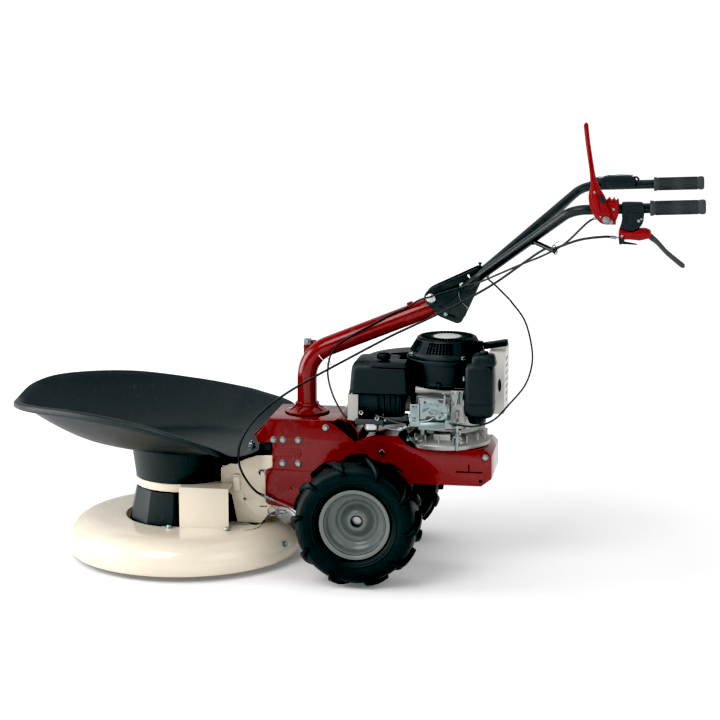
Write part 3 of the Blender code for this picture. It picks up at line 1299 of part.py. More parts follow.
def clutch_lever():
    """Lever housing under the left handle with the clutch lever and its safety trigger."""
    y = -GRIP_Y
    top = bar_height(0.66) + TUBE_R + 0.003
    front = HOUSING_FRONT_X
    ring = [(front + 0.008, top), (HOUSING_REAR_X - 0.006, top), (HOUSING_REAR_X, top - 0.006),
            (HOUSING_REAR_X - 0.002, 0.930), (HOUSING_REAR_X - 0.016, 0.913),
            (front + 0.026, 0.909), (front + 0.023, 0.876), (front - 0.0005, 0.876),
            (front - 0.001, 0.911), (front + 0.010, 0.935)]
    body = as_mesh(upright_plate([ring], y - HOUSING_Y, y + HOUSING_Y))
    x = front - 0.010
    far_x = HOUSING_REAR_X + 0.008
    bore = rod((x, y, bar_height(x)), (far_x, y, bar_height(far_x)), TUBE_R + GAP, 20)
    slot = box((front - 0.030, y - LEVER_SLOT_Y, 0.86), (far_x, y + LEVER_SLOT_Y, 0.946))
    cut(body, bore, slot)
    pins = [rod((px, y - HOUSING_Y + 0.001, pz), (px, y + HOUSING_Y - 0.001, pz), r, 12)
            for px, pz, r in ((CLUTCH_PIVOT_X, CLUTCH_PIVOT_Z, 0.003),
                              (TRIGGER_PIVOT_X, TRIGGER_PIVOT_Z, 0.0015))]
    join(body, *pins)
    part(body, "lever_housing", BLACK, 0.4)
    line = ((-0.007, 0.905), (0.0, 0.9085), (0.029, 0.905), (0.049, 0.910), (0.062, 0.9095),
            (0.083, 0.892), (0.107, 0.865), (0.149, 0.8325), (0.147, 0.8245), (0.139, 0.826),
            (0.101, 0.857), (0.078, 0.882), (0.059, 0.893), (0.034, 0.8905), (0.009, 0.8925),
            (-0.005, 0.8925), (-0.009, 0.899))
    ring = [(CLUTCH_PIVOT_X + x, z) for x, z in line]
    hole = circle(CLUTCH_PIVOT_X, CLUTCH_PIVOT_Z, 0.003 + RUNNING, 12)
    lever = as_mesh(upright_plate([ring, hole], y - LEVER_Y, y + LEVER_Y))
    part(lever, "clutch_lever", RED, 0.4, pivot=(CLUTCH_PIVOT_X, y, CLUTCH_PIVOT_Z))
    line = ((-0.004, 0.8845), (0.002, 0.8855), (0.022, 0.8825), (0.038, 0.8795),
            (0.0385, 0.8775), (0.02, 0.8785), (0.002, 0.8790), (-0.004, 0.8800))
    ring = [(TRIGGER_PIVOT_X + x, z) for x, z in line]
    hole = circle(TRIGGER_PIVOT_X, TRIGGER_PIVOT_Z, 0.0015 + RUNNING, 10)
    trigger = as_mesh(upright_plate([ring, hole], y - 0.005, y + 0.005))
    part(trigger, "clutch_trigger", BLACK, 0.4, pivot=(TRIGGER_PIVOT_X, y, TRIGGER_PIVOT_Z))


def throttle():
    """Throttle box on the right handle with its turning lever."""
    y = GRIP_Y
    low = bar_height(THROTTLE_BOX_X - THROTTLE_BOX_LENGTH / 2) + TUBE_R + 0.0002
    half = THROTTLE_BOX_LENGTH / 2
    wide = THROTTLE_BOX_WIDTH / 2
    top = low + THROTTLE_BOX_HEIGHT
    body = box((THROTTLE_BOX_X - half, y - wide, low - 0.016), (THROTTLE_BOX_X + half, y + wide, top),
               0.003, 1)
    x = THROTTLE_BOX_X - half - 0.01
    far_x = THROTTLE_BOX_X + half + 0.01
    bore = rod((x, y, bar_height(x)), (far_x, y, bar_height(far_x)), TUBE_R + GAP, 20)
    under = box((x, y - TUBE_R - GAP, low - 0.03), (far_x, y + TUBE_R + GAP, low - 0.012))
    cut(body, bore, under)
    stub = rod((THROTTLE_BOX_X, y, top - 0.002), (THROTTLE_BOX_X, y, top + 0.0022), 0.003, 12)
    join(body, stub)
    part(body, "throttle_box", BLACK, 0.4)
    ring = [(THROTTLE_BOX_X + 0.012, y - 0.006), (THROTTLE_BOX_X + 0.034, y - 0.004),
            (THROTTLE_BOX_X + 0.036, y), (THROTTLE_BOX_X + 0.034, y + 0.004),
            (THROTTLE_BOX_X + 0.012, y + 0.006), (THROTTLE_BOX_X, y + 0.012),
            (THROTTLE_BOX_X - 0.010, y + 0.006), (THROTTLE_BOX_X - 0.010, y - 0.006),
            (THROTTLE_BOX_X, y - 0.012)]
    lever = level_plate([ring, circle(THROTTLE_BOX_X, y, 0.0034, 10)], top + GAP, top + 0.0028)
    part(lever, "throttle_lever", ZINC, 0.3, 0.9, pivot=(THROTTLE_BOX_X, y, top + 0.0015))


def beside_column(x, angle):
    """Cable point on the sloped column's surface, turned from its near side to its top."""
    reach = COLUMN_R + THIN_CABLE_R + 0.001
    slope = math.radians(COLUMN_SLOPE_DEG)
    turn = math.radians(angle)
    up = reach * math.sin(turn)
    return (x - up * math.sin(slope), -reach * math.cos(turn),
            column_axis_point(x) + up * math.cos(slope))


def cables():
    """Sheathed control cables, each in an upper and a lower stretch that meet end to end."""
    over_bolt = (0.1565, -BRACKET_Y - 0.012, 0.704)
    routes = {
        "clutch_cable_upper": (CABLE_R, 18, [
            (0.6275, -0.279, 0.893), (0.600, -0.278, 0.895), (0.542, -0.272, 0.886),
            (0.481, -0.237, 0.860), (0.445, -0.208, 0.848), (0.331, -0.165, 0.761),
            (0.243, -0.140, 0.706), (0.166, -0.120, 0.663), (0.110, -0.108, 0.634)]),
        "clutch_cable_lower": (CABLE_R, 28, [
            (0.1094, -0.1079, 0.6337), (0.060, -0.101, 0.608), (-0.052, -0.103, 0.5455),
            (-0.159, -0.150, 0.488), (-0.228, -0.195, 0.443), (-0.272, -0.228, 0.3975),
            (-0.2955, -0.241, 0.349), (-0.2985, -0.238, 0.302), (-0.290, -0.208, 0.257),
            (-0.280, -0.135, 0.206), (-0.266, -0.0985, 0.184)]),
        "engage_cable_upper": (THIN_CABLE_R, 20, [
            (0.5865, -0.268, 0.940), (0.560, -0.264, 0.928), (0.505, -0.245, 0.873),
            (0.452, -0.206, 0.838), (0.400, -0.165, 0.811), (0.340, -0.122, 0.779),
            (0.289, -0.087, 0.752), (0.249, -0.066, 0.737), (0.200, -0.050, 0.7195),
            over_bolt, (0.137, -0.0415, 0.698), (0.118, -0.029, 0.6875),
            beside_column(0.104, 48)]),
        "engage_cable_lower": (THIN_CABLE_R, 24, [
            beside_column(0.1028, 48), beside_column(0.060, 45), beside_column(0.010, 28),
            beside_column(-0.045, 12), beside_column(-0.085, -8), (-0.1015, -0.036, 0.540),
            (-0.106, -0.042, 0.495), (-0.090, -0.066, 0.450), (-0.064, -0.092, 0.413),
            (-0.045, -0.107, 0.398), (-0.0245, -0.112, 0.394)]),
        "throttle_cable_upper": (THIN_CABLE_R, 24, [
            (0.574, 0.279, 0.979), (0.555, 0.282, 0.9775), (0.530, 0.296, 0.959),
            (0.500, 0.277, 0.925), (0.4085, 0.167, 0.843), (0.310, 0.068, 0.762),
            (0.294, 0.045, 0.745), (0.300, 0.018, 0.741), (0.318, -0.008, 0.732),
            (0.356, -0.020, 0.698)]),
        "throttle_cable_lower": (THIN_CABLE_R, 24, [
            (0.3564, -0.0202, 0.6975), (0.395, -0.028, 0.647), (0.414, -0.036, 0.583),
            (0.416, -0.046, 0.536), (0.401, -0.065, 0.488), (0.366, -0.096, 0.446),
            (0.330, -0.136, 0.412), (0.285, -0.155, 0.398), (0.236, -0.140, 0.397),
            (0.2165, -0.1245, 0.397)]),
    }
    for name, (radius, count, points) in routes.items():
        part(tube(smooth_path(points, count), radius, 1), name, BLACK, 0.5)


def build():
    axle()
    for side, label in ((-1, "left"), (1, "right")):
        rim(f"rim_{label}", side)
        tyre(f"tyre_{label}", side)
        side_plate(f"side_plate_{label}", side)
    gearbox()
    worm_shaft()
    top_plate()
    engine_deck()
    belt("mower_belt", DRUM_X, DRUM_PULLEY_R, CRANK_X, ENGINE_PULLEY_R, MOWER_BELT_Z)
    belt("travel_belt", WORM_X, TRAVEL_PULLEY_R, CRANK_X, ENGINE_PULLEY_R, TRAVEL_BELT_Z)
    for maker in (engine_base, crankcase, blower_housing, recoil_cover, crankshaft, flywheel,
                  fuel_tank, fuel_cap, carburettor, air_filter, governor_bracket, muffler,
                  starter, head_frame, skirt, upper_cover, bearing_housing, drum, skid, dish,
                  column, bracket, handle_tubes):
        maker()
    for index in range(BLADES):
        blade(index)
    clamp_pin(engage_lever())
    clutch_lever()
    throttle()
    cables()


BASE = reset_scene()
build()
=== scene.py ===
"""Studio picture of a walk-behind rotary mower, dressed round its CAD frame.

Shapes are drawn from the floor point under the wheel axle, in metres: x runs along the machine,
with its front at -x, y across it, with the near side at -y, and z up. piece() shifts them into
the frame, which stands over the middle of the machine's footprint.
"""
import math

import bmesh
import bpy
from mathutils import Matrix, Vector


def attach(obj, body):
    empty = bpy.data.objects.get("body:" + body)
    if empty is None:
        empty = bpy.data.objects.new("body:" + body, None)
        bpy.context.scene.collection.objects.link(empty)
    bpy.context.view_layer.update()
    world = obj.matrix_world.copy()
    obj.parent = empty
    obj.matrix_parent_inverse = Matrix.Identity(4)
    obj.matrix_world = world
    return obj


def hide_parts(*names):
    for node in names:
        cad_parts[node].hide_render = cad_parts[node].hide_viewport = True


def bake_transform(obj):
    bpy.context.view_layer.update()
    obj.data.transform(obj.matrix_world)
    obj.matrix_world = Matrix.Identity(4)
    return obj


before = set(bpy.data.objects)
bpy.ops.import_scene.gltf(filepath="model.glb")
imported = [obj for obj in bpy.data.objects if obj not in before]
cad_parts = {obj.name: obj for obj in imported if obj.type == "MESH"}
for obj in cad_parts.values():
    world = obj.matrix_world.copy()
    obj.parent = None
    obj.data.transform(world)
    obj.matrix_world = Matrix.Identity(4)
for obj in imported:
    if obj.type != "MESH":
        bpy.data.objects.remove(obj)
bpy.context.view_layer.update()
SHIFT = Vector((0.0585, 0.0, 0.0))

# Sides of the machine: sign of y, and name
SIDES = ((-1, 'left'), (1, 'right'))

# Sizes that the pieces share with the frame
AXLE_Z = 0.165
WHEEL_Y = 0.231
CRANK_X = 0.196
DRUM_X = -0.495
CHASSIS_Y = 0.09
BLOWER_Z = 0.4829
RECOIL_Z = 0.5482
COLUMN_X = -0.1675
COLUMN_R = 0.0255
COLUMN_SLOPE = math.radians(22.3)
COLUMN_BEND = 0.089
BEND_FOOT_Z = 0.48
BRACKET_Y = 0.031
TUBE_R = 0.012
GRIP_Y = 0.279
GRIP_RUN = 0.304
GRIP_RISE = 0.013

# Places in side view, as x and z
PIVOT = (0.1567, 0.6975)
GRIP_BEND = (0.522, 0.957)
ENGAGE_PIN = (0.603, 0.938)
CLUTCH_PIN = (0.641, 0.9)

# Places in plan, as x and y
LOCK_SPOT = (-0.176, 0.052)
CAP_SPOT = (0.045, -0.088)

# Bolt circles of the engine: radius, and angles in degrees
SUMP_EAR_R = 0.098
SUMP_EARS = (-125, -63, 63, 125)
FLANGE_R = 0.0935
FLANGE_EARS = range(-150, 151, 50)

# Light that comes from all sides, as a share of the white behind the machine
AMBIENT = 0.4

# Corners nearer than this are made one
WELD = 0.000002


class Socket:
    """One output of a node. Python's operators on it add Math nodes."""

    def __init__(self, graph, node, output=0):
        self.graph = graph
        self.node = node
        self.link = node.outputs[output]

    def out(self, output):
        return Socket(self.graph, self.node, output)

    def math(self, operation, *values):
        return self.graph.add('ShaderNodeMath', {'operation': operation}, dict(enumerate(values)))

    def __add__(self, other):
        return self.math('ADD', self, other)

    def __radd__(self, other):
        return self.math('ADD', other, self)

    def __sub__(self, other):
        return self.math('SUBTRACT', self, other)

    def __rsub__(self, other):
        return self.math('SUBTRACT', other, self)

    def __mul__(self, other):
        return self.math('MULTIPLY', self, other)

    def __rmul__(self, other):
        return self.math('MULTIPLY', other, self)

    def __truediv__(self, other):
        return self.math('DIVIDE', self, other)


class Graph:
    """Builds the nodes of one tree."""

    def __init__(self, tree):
        self.tree = tree

    def add(self, kind, settings=None, inputs=None, output=0):
        node = self.tree.nodes.new(kind)
        for name, value in (settings or {}).items():
            if name == 'stops':
                ramp = node.color_ramp
                while len(ramp.elements) < len(value):
                    ramp.elements.new(0.5)
                for element, (place, shade) in zip(ramp.elements, value):
                    element.position = place
                    element.color = (shade, shade, shade, 1.0)
            else:
                setattr(node, name, value)
        for name, value in (inputs or {}).items():
            if isinstance(value, Socket):
                self.tree.links.new(value.link, node.inputs[name])
            else:
                node.inputs[name].default_value = value
        return Socket(self, node, output)

    def add_output(self, result):
        node = self.tree.nodes.new('NodeGroupOutput')
        self.tree.links.new(result.link, node.inputs[0])


class Finish(Graph):
    """A material with its Principled shader and the noises that its finish is made of."""

    def __init__(self, name, **fixed):
        self.material = bpy.data.materials.new(name)
        self.material.use_nodes = True
        super().__init__(self.material.node_tree)
        self.shader = self.tree.nodes['Principled BSDF']
        self.place = self.add('ShaderNodeTexCoord', output='Object')
        self.bumps = None
        for name, value in fixed.items():
            self.shader.inputs[name.replace('_', ' ')].default_value = value

    def noise(self, scale, detail=2.0, stretch=(1, 1, 1)):
        place = self.place
        if stretch != (1, 1, 1):
            place = self.add('ShaderNodeMapping', None, {'Vector': place, 'Scale': stretch})
        return self.add('ShaderNodeTexNoise', None,
                        {'Vector': place, 'Scale': scale, 'Detail': detail})

    def cells(self, scale):
        return self.add('ShaderNodeTexVoronoi', None, {'Vector': self.place, 'Scale': scale})

    def ramp(self, value, *stops):
        return self.add('ShaderNodeValToRGB', {'stops': stops}, {'Fac': value})

    def mix(self, factor, first, second):
        def colour(value):
            return value if isinstance(value, Socket) else (*value, 1.0)
        return self.add('ShaderNodeMix', {'data_type': 'RGBA'},
                        {0: factor, 6: colour(first), 7: colour(second)}, 2)

    def bump(self, height, depth, strength=1.0):
        inputs = {'Height': height, 'Distance': depth, 'Strength': strength}
        if self.bumps is not None:
            inputs['Normal'] = self.bumps
        self.bumps = self.add('ShaderNodeBump', None, inputs)
        return self

    def set(self, **values):
        """Link or set the shader's sockets and hand over the material."""
        if self.bumps is not None:
            values['Normal'] = self.bumps
        for name, value in values.items():
            socket = self.shader.inputs[name.replace('_', ' ')]
            if isinstance(value, Socket):
                self.tree.links.new(value.link, socket)
            elif isinstance(value, tuple):
                socket.default_value = (*value, 1.0)
            else:
                socket.default_value = value
        return self.material


def paint(name, colour, shade, roughness, coat, peel=0.00005):
    """Stoved gloss paint: slow tone changes, orange peel and a thin veil of dust."""
    f = Finish(name, Coat_Weight=coat, Coat_Roughness=0.06, Specular_IOR_Level=0.3)
    tone = f.ramp(f.noise(5.0, 3.0), (0.35, 0.0), (0.65, 1.0))
    dust = f.ramp(f.noise(42.0, 8.0), (0.52, 0.0), (0.8, 1.0))
    pale = tuple(0.6 * c + 0.25 for c in colour)
    base = f.mix(dust * 0.05, f.mix(tone, colour, shade), pale)
    rough = roughness + 0.06 * f.noise(18.0, 4.0) + dust * 0.12
    f.bump(f.noise(330.0, 1.0), peel).bump(f.noise(30.0, 1.0), 0.00015, 0.4)
    return f.set(Base_Color=base, Roughness=rough)


def plastic(name, colour, shade, roughness, grain, depth, scuffs=0.08):
    """Moulded plastic: spark-eroded grain, soft flow marks and fine scuffs."""
    f = Finish(name, Specular_IOR_Level=0.32)
    flow = f.noise(7.0, 3.0, (1.0, 0.5, 2.0))
    scuff = f.ramp(f.noise(60.0, 6.0, (6.0, 0.8, 1.0)), (0.6, 0.0), (0.72, 1.0))
    base = f.mix(scuff * scuffs, f.mix(flow, colour, shade), (0.16, 0.17, 0.17))
    rough = roughness + 0.1 * f.noise(26.0, 5.0) - scuff * 0.08
    f.bump(f.cells(grain), depth, 0.6).bump(f.noise(grain * 0.4, 2.0), depth, 0.5)
    return f.set(Base_Color=base, Roughness=rough)


def rubber(name, colour, dust_colour, roughness, dust_share):
    """Moulded rubber with fine pores and pale dust that clings to it."""
    f = Finish(name, Specular_IOR_Level=0.28)
    dust = f.ramp(f.noise(24.0, 9.0), (0.5, 0.0), (0.78, 1.0))
    tone = f.noise(9.0, 3.0)
    base = f.mix(dust * dust_share, f.mix(tone, colour, tuple(0.7 * c for c in colour)),
                 dust_colour)
    rough = roughness + 0.12 * tone + dust * 0.15
    f.bump(f.noise(520.0, 3.0), 0.00012, 0.7).bump(f.noise(60.0, 2.0), 0.0003, 0.3)
    return f.set(Base_Color=base, Roughness=rough)


def casting(name, colour, shade, roughness, metallic=1.0):
    """Sand- or die-cast metal with a pebbled skin and darker pits."""
    f = Finish(name, Metallic=metallic)
    pits = f.ramp(f.cells(190.0), (0.0, 0.0), (0.35, 1.0))
    cloud = f.noise(15.0, 6.0)
    base = f.mix(cloud, shade, colour)
    base = f.mix((1.0 - pits) * 0.35, base, tuple(0.5 * c for c in shade))
    rough = roughness + 0.18 * cloud
    f.bump(f.noise(420.0, 3.0), 0.0002, 0.8).bump(pits, 0.0001, 0.5)
    return f.set(Base_Color=base, Roughness=rough)


def plating(name, colour, tint, roughness):
    """Zinc plating or drawn steel: fine drawn lines and slow rainbow stains."""
    f = Finish(name, Metallic=1.0)
    lines = f.noise(160.0, 3.0, (1.0, 1.0, 12.0))
    stain = f.ramp(f.noise(38.0, 4.0), (0.4, 0.0), (0.7, 1.0))
    base = f.mix(stain * 0.6, f.mix(lines, colour, tuple(0.82 * c for c in colour)), tint)
    rough = roughness + 0.16 * lines + stain * 0.08
    f.bump(lines, 0.00006, 0.6)
    return f.set(Base_Color=base, Roughness=rough)


def rope_finish(name, colour, shade):
    """Braided cord: two crossing sets of strands."""
    f = Finish(name, Sheen_Weight=0.3)
    twist = f.add('ShaderNodeTexWave', {'wave_type': 'BANDS', 'bands_direction': 'DIAGONAL'},
                  {'Vector': f.place, 'Scale': 420.0, 'Distortion': 0.4}, 'Fac')
    return f.bump(twist, 0.0005).set(Base_Color=f.mix(twist, shade, colour), Roughness=0.8)


RED = paint('red_stove_enamel', (0.19, 0.002, 0.003), (0.155, 0.001, 0.002), 0.2, 0.4)
DEEP_RED = paint('red_lever_moulding', (0.24, 0.004, 0.006), (0.19, 0.003, 0.005), 0.3, 0.2)
CREAM = paint('cream_stove_enamel', (0.8, 0.72, 0.59), (0.74, 0.66, 0.53), 0.18, 0.6)
BLACK_PAINT = paint('black_powder_coat', (0.014, 0.017, 0.018), (0.01, 0.012, 0.013), 0.34, 0.15,
                    0.0001)
DISH_PLASTIC = plastic('dish_polyethylene', (0.018, 0.022, 0.024), (0.013, 0.016, 0.018), 0.38,
                       900.0, 0.00004)
HOOD_PLASTIC = plastic('engine_hood_nylon', (0.016, 0.019, 0.021), (0.011, 0.013, 0.015), 0.4,
                       1400.0, 0.00006, 0.05)
LEVER_PLASTIC = plastic('lever_housing_nylon', (0.018, 0.021, 0.024), (0.012, 0.014, 0.016), 0.44,
                        1100.0, 0.00006, 0.05)
TYRE_RUBBER = rubber('tyre_tread_rubber', (0.011, 0.014, 0.015), (0.1, 0.1, 0.09), 0.44, 0.05)
GRIP_RUBBER = rubber('grip_rubber', (0.06, 0.064, 0.066), (0.12, 0.12, 0.12), 0.6, 0.04)
SHEATH = plastic('cable_sheath_vinyl', (0.02, 0.023, 0.025), (0.014, 0.016, 0.018), 0.32,
                 800.0, 0.00003, 0.03)
WHEEL_GREY = paint('wheel_silver_grey', (0.165, 0.18, 0.17), (0.14, 0.155, 0.145), 0.3, 0.25)
CAST_ALLOY = casting('engine_cast_alloy', (0.46, 0.46, 0.44), (0.31, 0.31, 0.295), 0.36)
GEAR_CAST = casting('gearbox_cast_iron', (0.07, 0.072, 0.072), (0.04, 0.042, 0.042), 0.5, 0.3)
ZINC = plating('zinc_plated_steel', (0.31, 0.38, 0.4), (0.29, 0.32, 0.3), 0.22)
CHROME = plating('polished_float_bowl', (0.6, 0.61, 0.62), (0.52, 0.53, 0.54), 0.17)
STEEL = plating('machined_steel', (0.42, 0.42, 0.43), (0.34, 0.33, 0.31), 0.26)
WHITE_CAP = paint('white_moulded_cap', (0.78, 0.79, 0.78), (0.7, 0.71, 0.7), 0.3, 0.2)
ROPE = rope_finish('braided_starter_rope', (0.62, 0.58, 0.48), (0.3, 0.28, 0.23))
SHIELD_GREY = paint('grey_shield_paint', (0.42, 0.41, 0.38), (0.36, 0.35, 0.33), 0.38, 0.1)
GUARD = paint('aluminised_guard', (0.66, 0.64, 0.6), (0.58, 0.56, 0.53), 0.4, 0.1)
# Painted shade: a near-black finish for the sheets that stand in for the shade inside slots and
# recesses; the dark gasket rings use it too
SHADOW = rubber('painted_shade_and_gasket_black', (0.004, 0.005, 0.005), (0.02, 0.02, 0.02), 0.7, 0.05)

scene = bpy.context.scene


def evaluated(obj):
    """The mesh that an object's modifiers or curve settings make; the object goes."""
    bpy.context.view_layer.update()
    depsgraph = bpy.context.evaluated_depsgraph_get()
    mesh = bpy.data.meshes.new_from_object(obj.evaluated_get(depsgraph))
    mesh.transform(obj.matrix_world)
    bpy.data.objects.remove(obj, do_unlink=True)
    return mesh


def helper(data):
    """An object that is there only for its modifiers, or to cut or carry another."""
    obj = bpy.data.objects.new('helper', data)
    scene.collection.objects.link(obj)
    return obj


def from_bm(bm, weld=0.0, outwards=True):
    """Mesh of a bmesh, with its corners welded and its faces turned outwards where asked."""
    if weld:
        bmesh.ops.remove_doubles(bm, verts=bm.verts, dist=weld)
    if outwards:
        bmesh.ops.recalc_face_normals(bm, faces=bm.faces)
    mesh = bpy.data.meshes.new('shape')
    bm.to_mesh(mesh)
    bm.free()
    return mesh


def together(*meshes):
    """One mesh of several."""
    bm = bmesh.new()
    for mesh in meshes:
        bm.from_mesh(mesh)
    return from_bm(bm, outwards=False)


def moved(mesh, matrix):
    """Move or mirror a mesh; a mirrored one has its faces turned back."""
    mesh.transform(matrix)
    if matrix.determinant() < 0:
        mesh.flip_normals()
    return mesh


def at(x, y, z):
    return Matrix.Translation((x, y, z))


def turn(degrees, axis):
    return Matrix.Rotation(math.radians(degrees), 4, axis)


def facing(direction, place):
    """Matrix that stands a shape drawn along +z on a point, along a direction."""
    return at(*place) @ Vector(direction).to_track_quat('Z', 'Y').to_matrix().to_4x4()


def skin(bm, rings):
    """Join successive rings of corners with faces."""
    for lower, upper in zip(rings, rings[1:]):
        for i in range(len(lower)):
            j = (i + 1) % len(lower)
            bm.faces.new((lower[i], lower[j], upper[j], upper[i]))


def lathe(profile, steps=72, sweep=360.0, start=0.0):
    """Turn (radius, height) points about the upright axis. A profile that ends where it starts
    makes a ring, and one that starts and ends on the axis makes a closed solid."""
    bm = bmesh.new()
    whole = sweep > 359.9
    count = steps if whole else steps + 1
    angles = [math.radians(start + sweep * i / steps) for i in range(count)]
    columns = []
    for r, h in profile:
        if columns and (r, h) == profile[0]:
            columns.append(columns[0])
        elif r < 1e-6:
            columns.append([bm.verts.new((0.0, 0.0, h))] * count)
        else:
            columns.append([bm.verts.new((r * math.cos(a), r * math.sin(a), h)) for a in angles])
    for lower, upper in zip(columns, columns[1:]):
        for i in range(steps):
            j = (i + 1) % count
            corners = list(dict.fromkeys((lower[i], lower[j], upper[j], upper[i])))
            if len(corners) > 2:
                bm.faces.new(corners)
    if not whole and profile[0] == profile[-1]:
        bm.faces.new([column[0] for column in columns[:-1]])
        bm.faces.new([column[-1] for column in columns[:-1]])
    return from_bm(bm)


def eased(points, radius, steps=4, closed=True):
    """Round the corners of a flat outline, with one radius or one for each point."""
    radii = radius if isinstance(radius, (list, tuple)) else [radius] * len(points)
    made = []
    last = len(points) - 1
    for i, point in enumerate(points):
        if radii[i] <= 0 or (not closed and i in (0, last)):
            made.append(tuple(point))
            continue
        here = Vector(point)
        ends = []
        for other in (points[i - 1], points[(i + 1) % len(points)]):
            away = Vector(other) - here
            ends.append(here + away.normalized() * min(radii[i], 0.48 * away.length))
        for k in range(steps + 1):
            t = k / steps
            spot = ends[0] * (1 - t) ** 2 + here * 2 * t * (1 - t) + ends[1] * t ** 2
            made.append(tuple(spot))
    return made


def circle(x, y, radius, sides=24, height=None):
    """Outline of a circle, or of an ellipse where it has another half height."""
    steps = [2 * math.pi * i / sides for i in range(sides)]
    height = height or radius
    return [(x + radius * math.cos(a), y + height * math.sin(a)) for a in steps]


def loop_on(place, radius, sides, height=None):
    """Points of a circle or ellipse laid in a matrix's own x and y."""
    return [place @ Vector((x, y, 0.0)) for x, y in circle(0.0, 0.0, radius, sides, height)]


def on_circle(radius, degrees, x=0.0):
    """Point in plan on a circle about a point of the machine's middle line."""
    angle = math.radians(degrees)
    return x + radius * math.cos(angle), radius * math.sin(angle)


def winding(ring):
    """Twice an outline's area, which is below zero where it runs clockwise."""
    return sum(a[0] * b[1] - b[0] * a[1] for a, b in zip(ring, ring[1:] + ring[:1]))


def plate(rings, low, high, edge=0.0006, steps=2, upright=True):
    """Sheet with rounded edges between two planes. The first ring is its outline and the others
    are holes, drawn in x and z, or in x and y where it isn't upright."""
    curve = bpy.data.curves.new('plate', 'CURVE')
    curve.dimensions = '2D'
    curve.fill_mode = 'BOTH'
    curve.extrude = (high - low) / 2 - edge
    curve.bevel_depth = edge
    curve.bevel_resolution = steps
    curve.offset = -edge
    for i, ring in enumerate(rings):
        if (winding(ring) > 0) != (i == 0):
            ring = ring[::-1]
        spline = curve.splines.new('POLY')
        spline.points.add(len(ring) - 1)
        for point, (x, y) in zip(spline.points, ring):
            point.co = (x, y, 0.0, 1.0)
        spline.use_cyclic_u = True
    obj = helper(curve)
    if upright:
        obj.matrix_world = at(0, (low + high) / 2, 0) @ turn(90, 'X')
    else:
        obj.matrix_world = at(0, 0, (low + high) / 2)
    bm = bmesh.new()
    bm.from_mesh(evaluated(obj))
    return from_bm(bm, WELD)


def block(low, high, edge=0.002, steps=3):
    """Box between two corners with rounded edges."""
    low = Vector(low)
    high = Vector(high)
    bm = bmesh.new()
    bmesh.ops.create_cube(bm, size=1.0)
    size = high - low
    bmesh.ops.scale(bm, vec=size, verts=bm.verts)
    bmesh.ops.translate(bm, vec=(low + high) / 2, verts=bm.verts)
    edge = min(edge, 0.49 * min(size))
    bmesh.ops.bevel(bm, geom=bm.edges[:], offset=edge, segments=steps, profile=0.5, affect='EDGES')
    return from_bm(bm, 0.00001)


def bar(start, end, radius, sides=32, edge=0.0005, tip=None):
    """Round bar between two points with eased ends; tip is another radius for its end."""
    start = Vector(start)
    length = (Vector(end) - start).length
    tip = radius if tip is None else tip
    profile = [(0.0, 0.0), (radius - edge, 0.0), (radius, edge), (tip, length - edge),
               (tip - edge, length), (0.0, length)]
    return moved(lathe(profile, sides), facing(Vector(end) - start, start))


def wire(points, radius, sides=12, closed=False):
    """Round wire or tube along points."""
    curve = bpy.data.curves.new('wire', 'CURVE')
    curve.dimensions = '3D'
    curve.bevel_depth = radius
    curve.bevel_resolution = max(sides // 4 - 1, 0)
    curve.use_fill_caps = not closed
    spline = curve.splines.new('POLY')
    spline.points.add(len(points) - 1)
    for point, place in zip(spline.points, points):
        point.co = (*place, 1.0)
    spline.use_cyclic_u = closed
    bm = bmesh.new()
    bm.from_mesh(evaluated(helper(curve)))
    return from_bm(bm, WELD)


def strand(points, count, radius, sides=12):
    """Round wire on a smooth curve through a few points."""
    return wire(smooth_path(points, count), radius, sides)


def smooth_path(points, count):
    """Evenly spaced points on a Catmull-Rom curve through the given points."""
    nodes = [Vector(p) for p in points]
    nodes = [2 * nodes[0] - nodes[1]] + nodes + [2 * nodes[-1] - nodes[-2]]
    dense = []
    for a, b, c, d in zip(nodes, nodes[1:], nodes[2:], nodes[3:]):
        for i in range(24):
            t = i / 24
            dense.append(0.5 * (2 * b + (c - a) * t + (2 * a - 5 * b + 4 * c - d) * t * t
                                + (3 * b - a - 3 * c + d) * t ** 3))
    dense.append(nodes[-2])
    lengths = [0.0]
    for a, b in zip(dense, dense[1:]):
        lengths.append(lengths[-1] + (b - a).length)
    path = []
    index = 0
    for i in range(count):
        wanted = lengths[-1] * i / (count - 1)
        while index < len(lengths) - 2 and lengths[index + 1] < wanted:
            index += 1
        share = (wanted - lengths[index]) / (lengths[index + 1] - lengths[index])
        path.append(dense[index].lerp(dense[index + 1], min(max(share, 0.0), 1.0)))
    return path


def rounded_path(corners, radii, steps=16):
    """Path through corner points, each inner corner turned with its own radius."""
    corners = [Vector(c) for c in corners]
    path = [corners[0]]
    for before, corner, after, radius in zip(corners, corners[1:], corners[2:], radii):
        into = (before - corner).normalized()
        out = (after - corner).normalized()
        half = into.angle(out) / 2
        reach = radius / math.tan(half)
        centre = corner + (into + out).normalized() * (radius / math.sin(half))
        first = corner + into * reach - centre
        last = corner + out * reach - centre
        for i in range(steps + 1):
            path.append(centre + first.slerp(last, i / steps).normalized() * radius)
    path.append(corners[-1])
    return path


def refined(node, edge=0.0008, steps=2, angle=28.0):
    """Copy of a CAD node's shape with its facets welded and its edges rounded."""
    bm = bmesh.new()
    bm.from_mesh(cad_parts[node].data)
    bmesh.ops.remove_doubles(bm, verts=bm.verts, dist=0.00002)
    bmesh.ops.dissolve_limit(bm, angle_limit=math.radians(0.6), verts=bm.verts, edges=bm.edges)
    limit = math.radians(angle)
    sharp = [e for e in bm.edges if len(e.link_faces) == 2 and e.calc_face_angle(0.0) > limit]
    bmesh.ops.bevel(bm, geom=sharp, offset=edge, segments=steps, profile=0.5, affect='EDGES',
                    clamp_overlap=True)
    bmesh.ops.translate(bm, vec=-SHIFT, verts=bm.verts)
    return from_bm(bm, WELD)


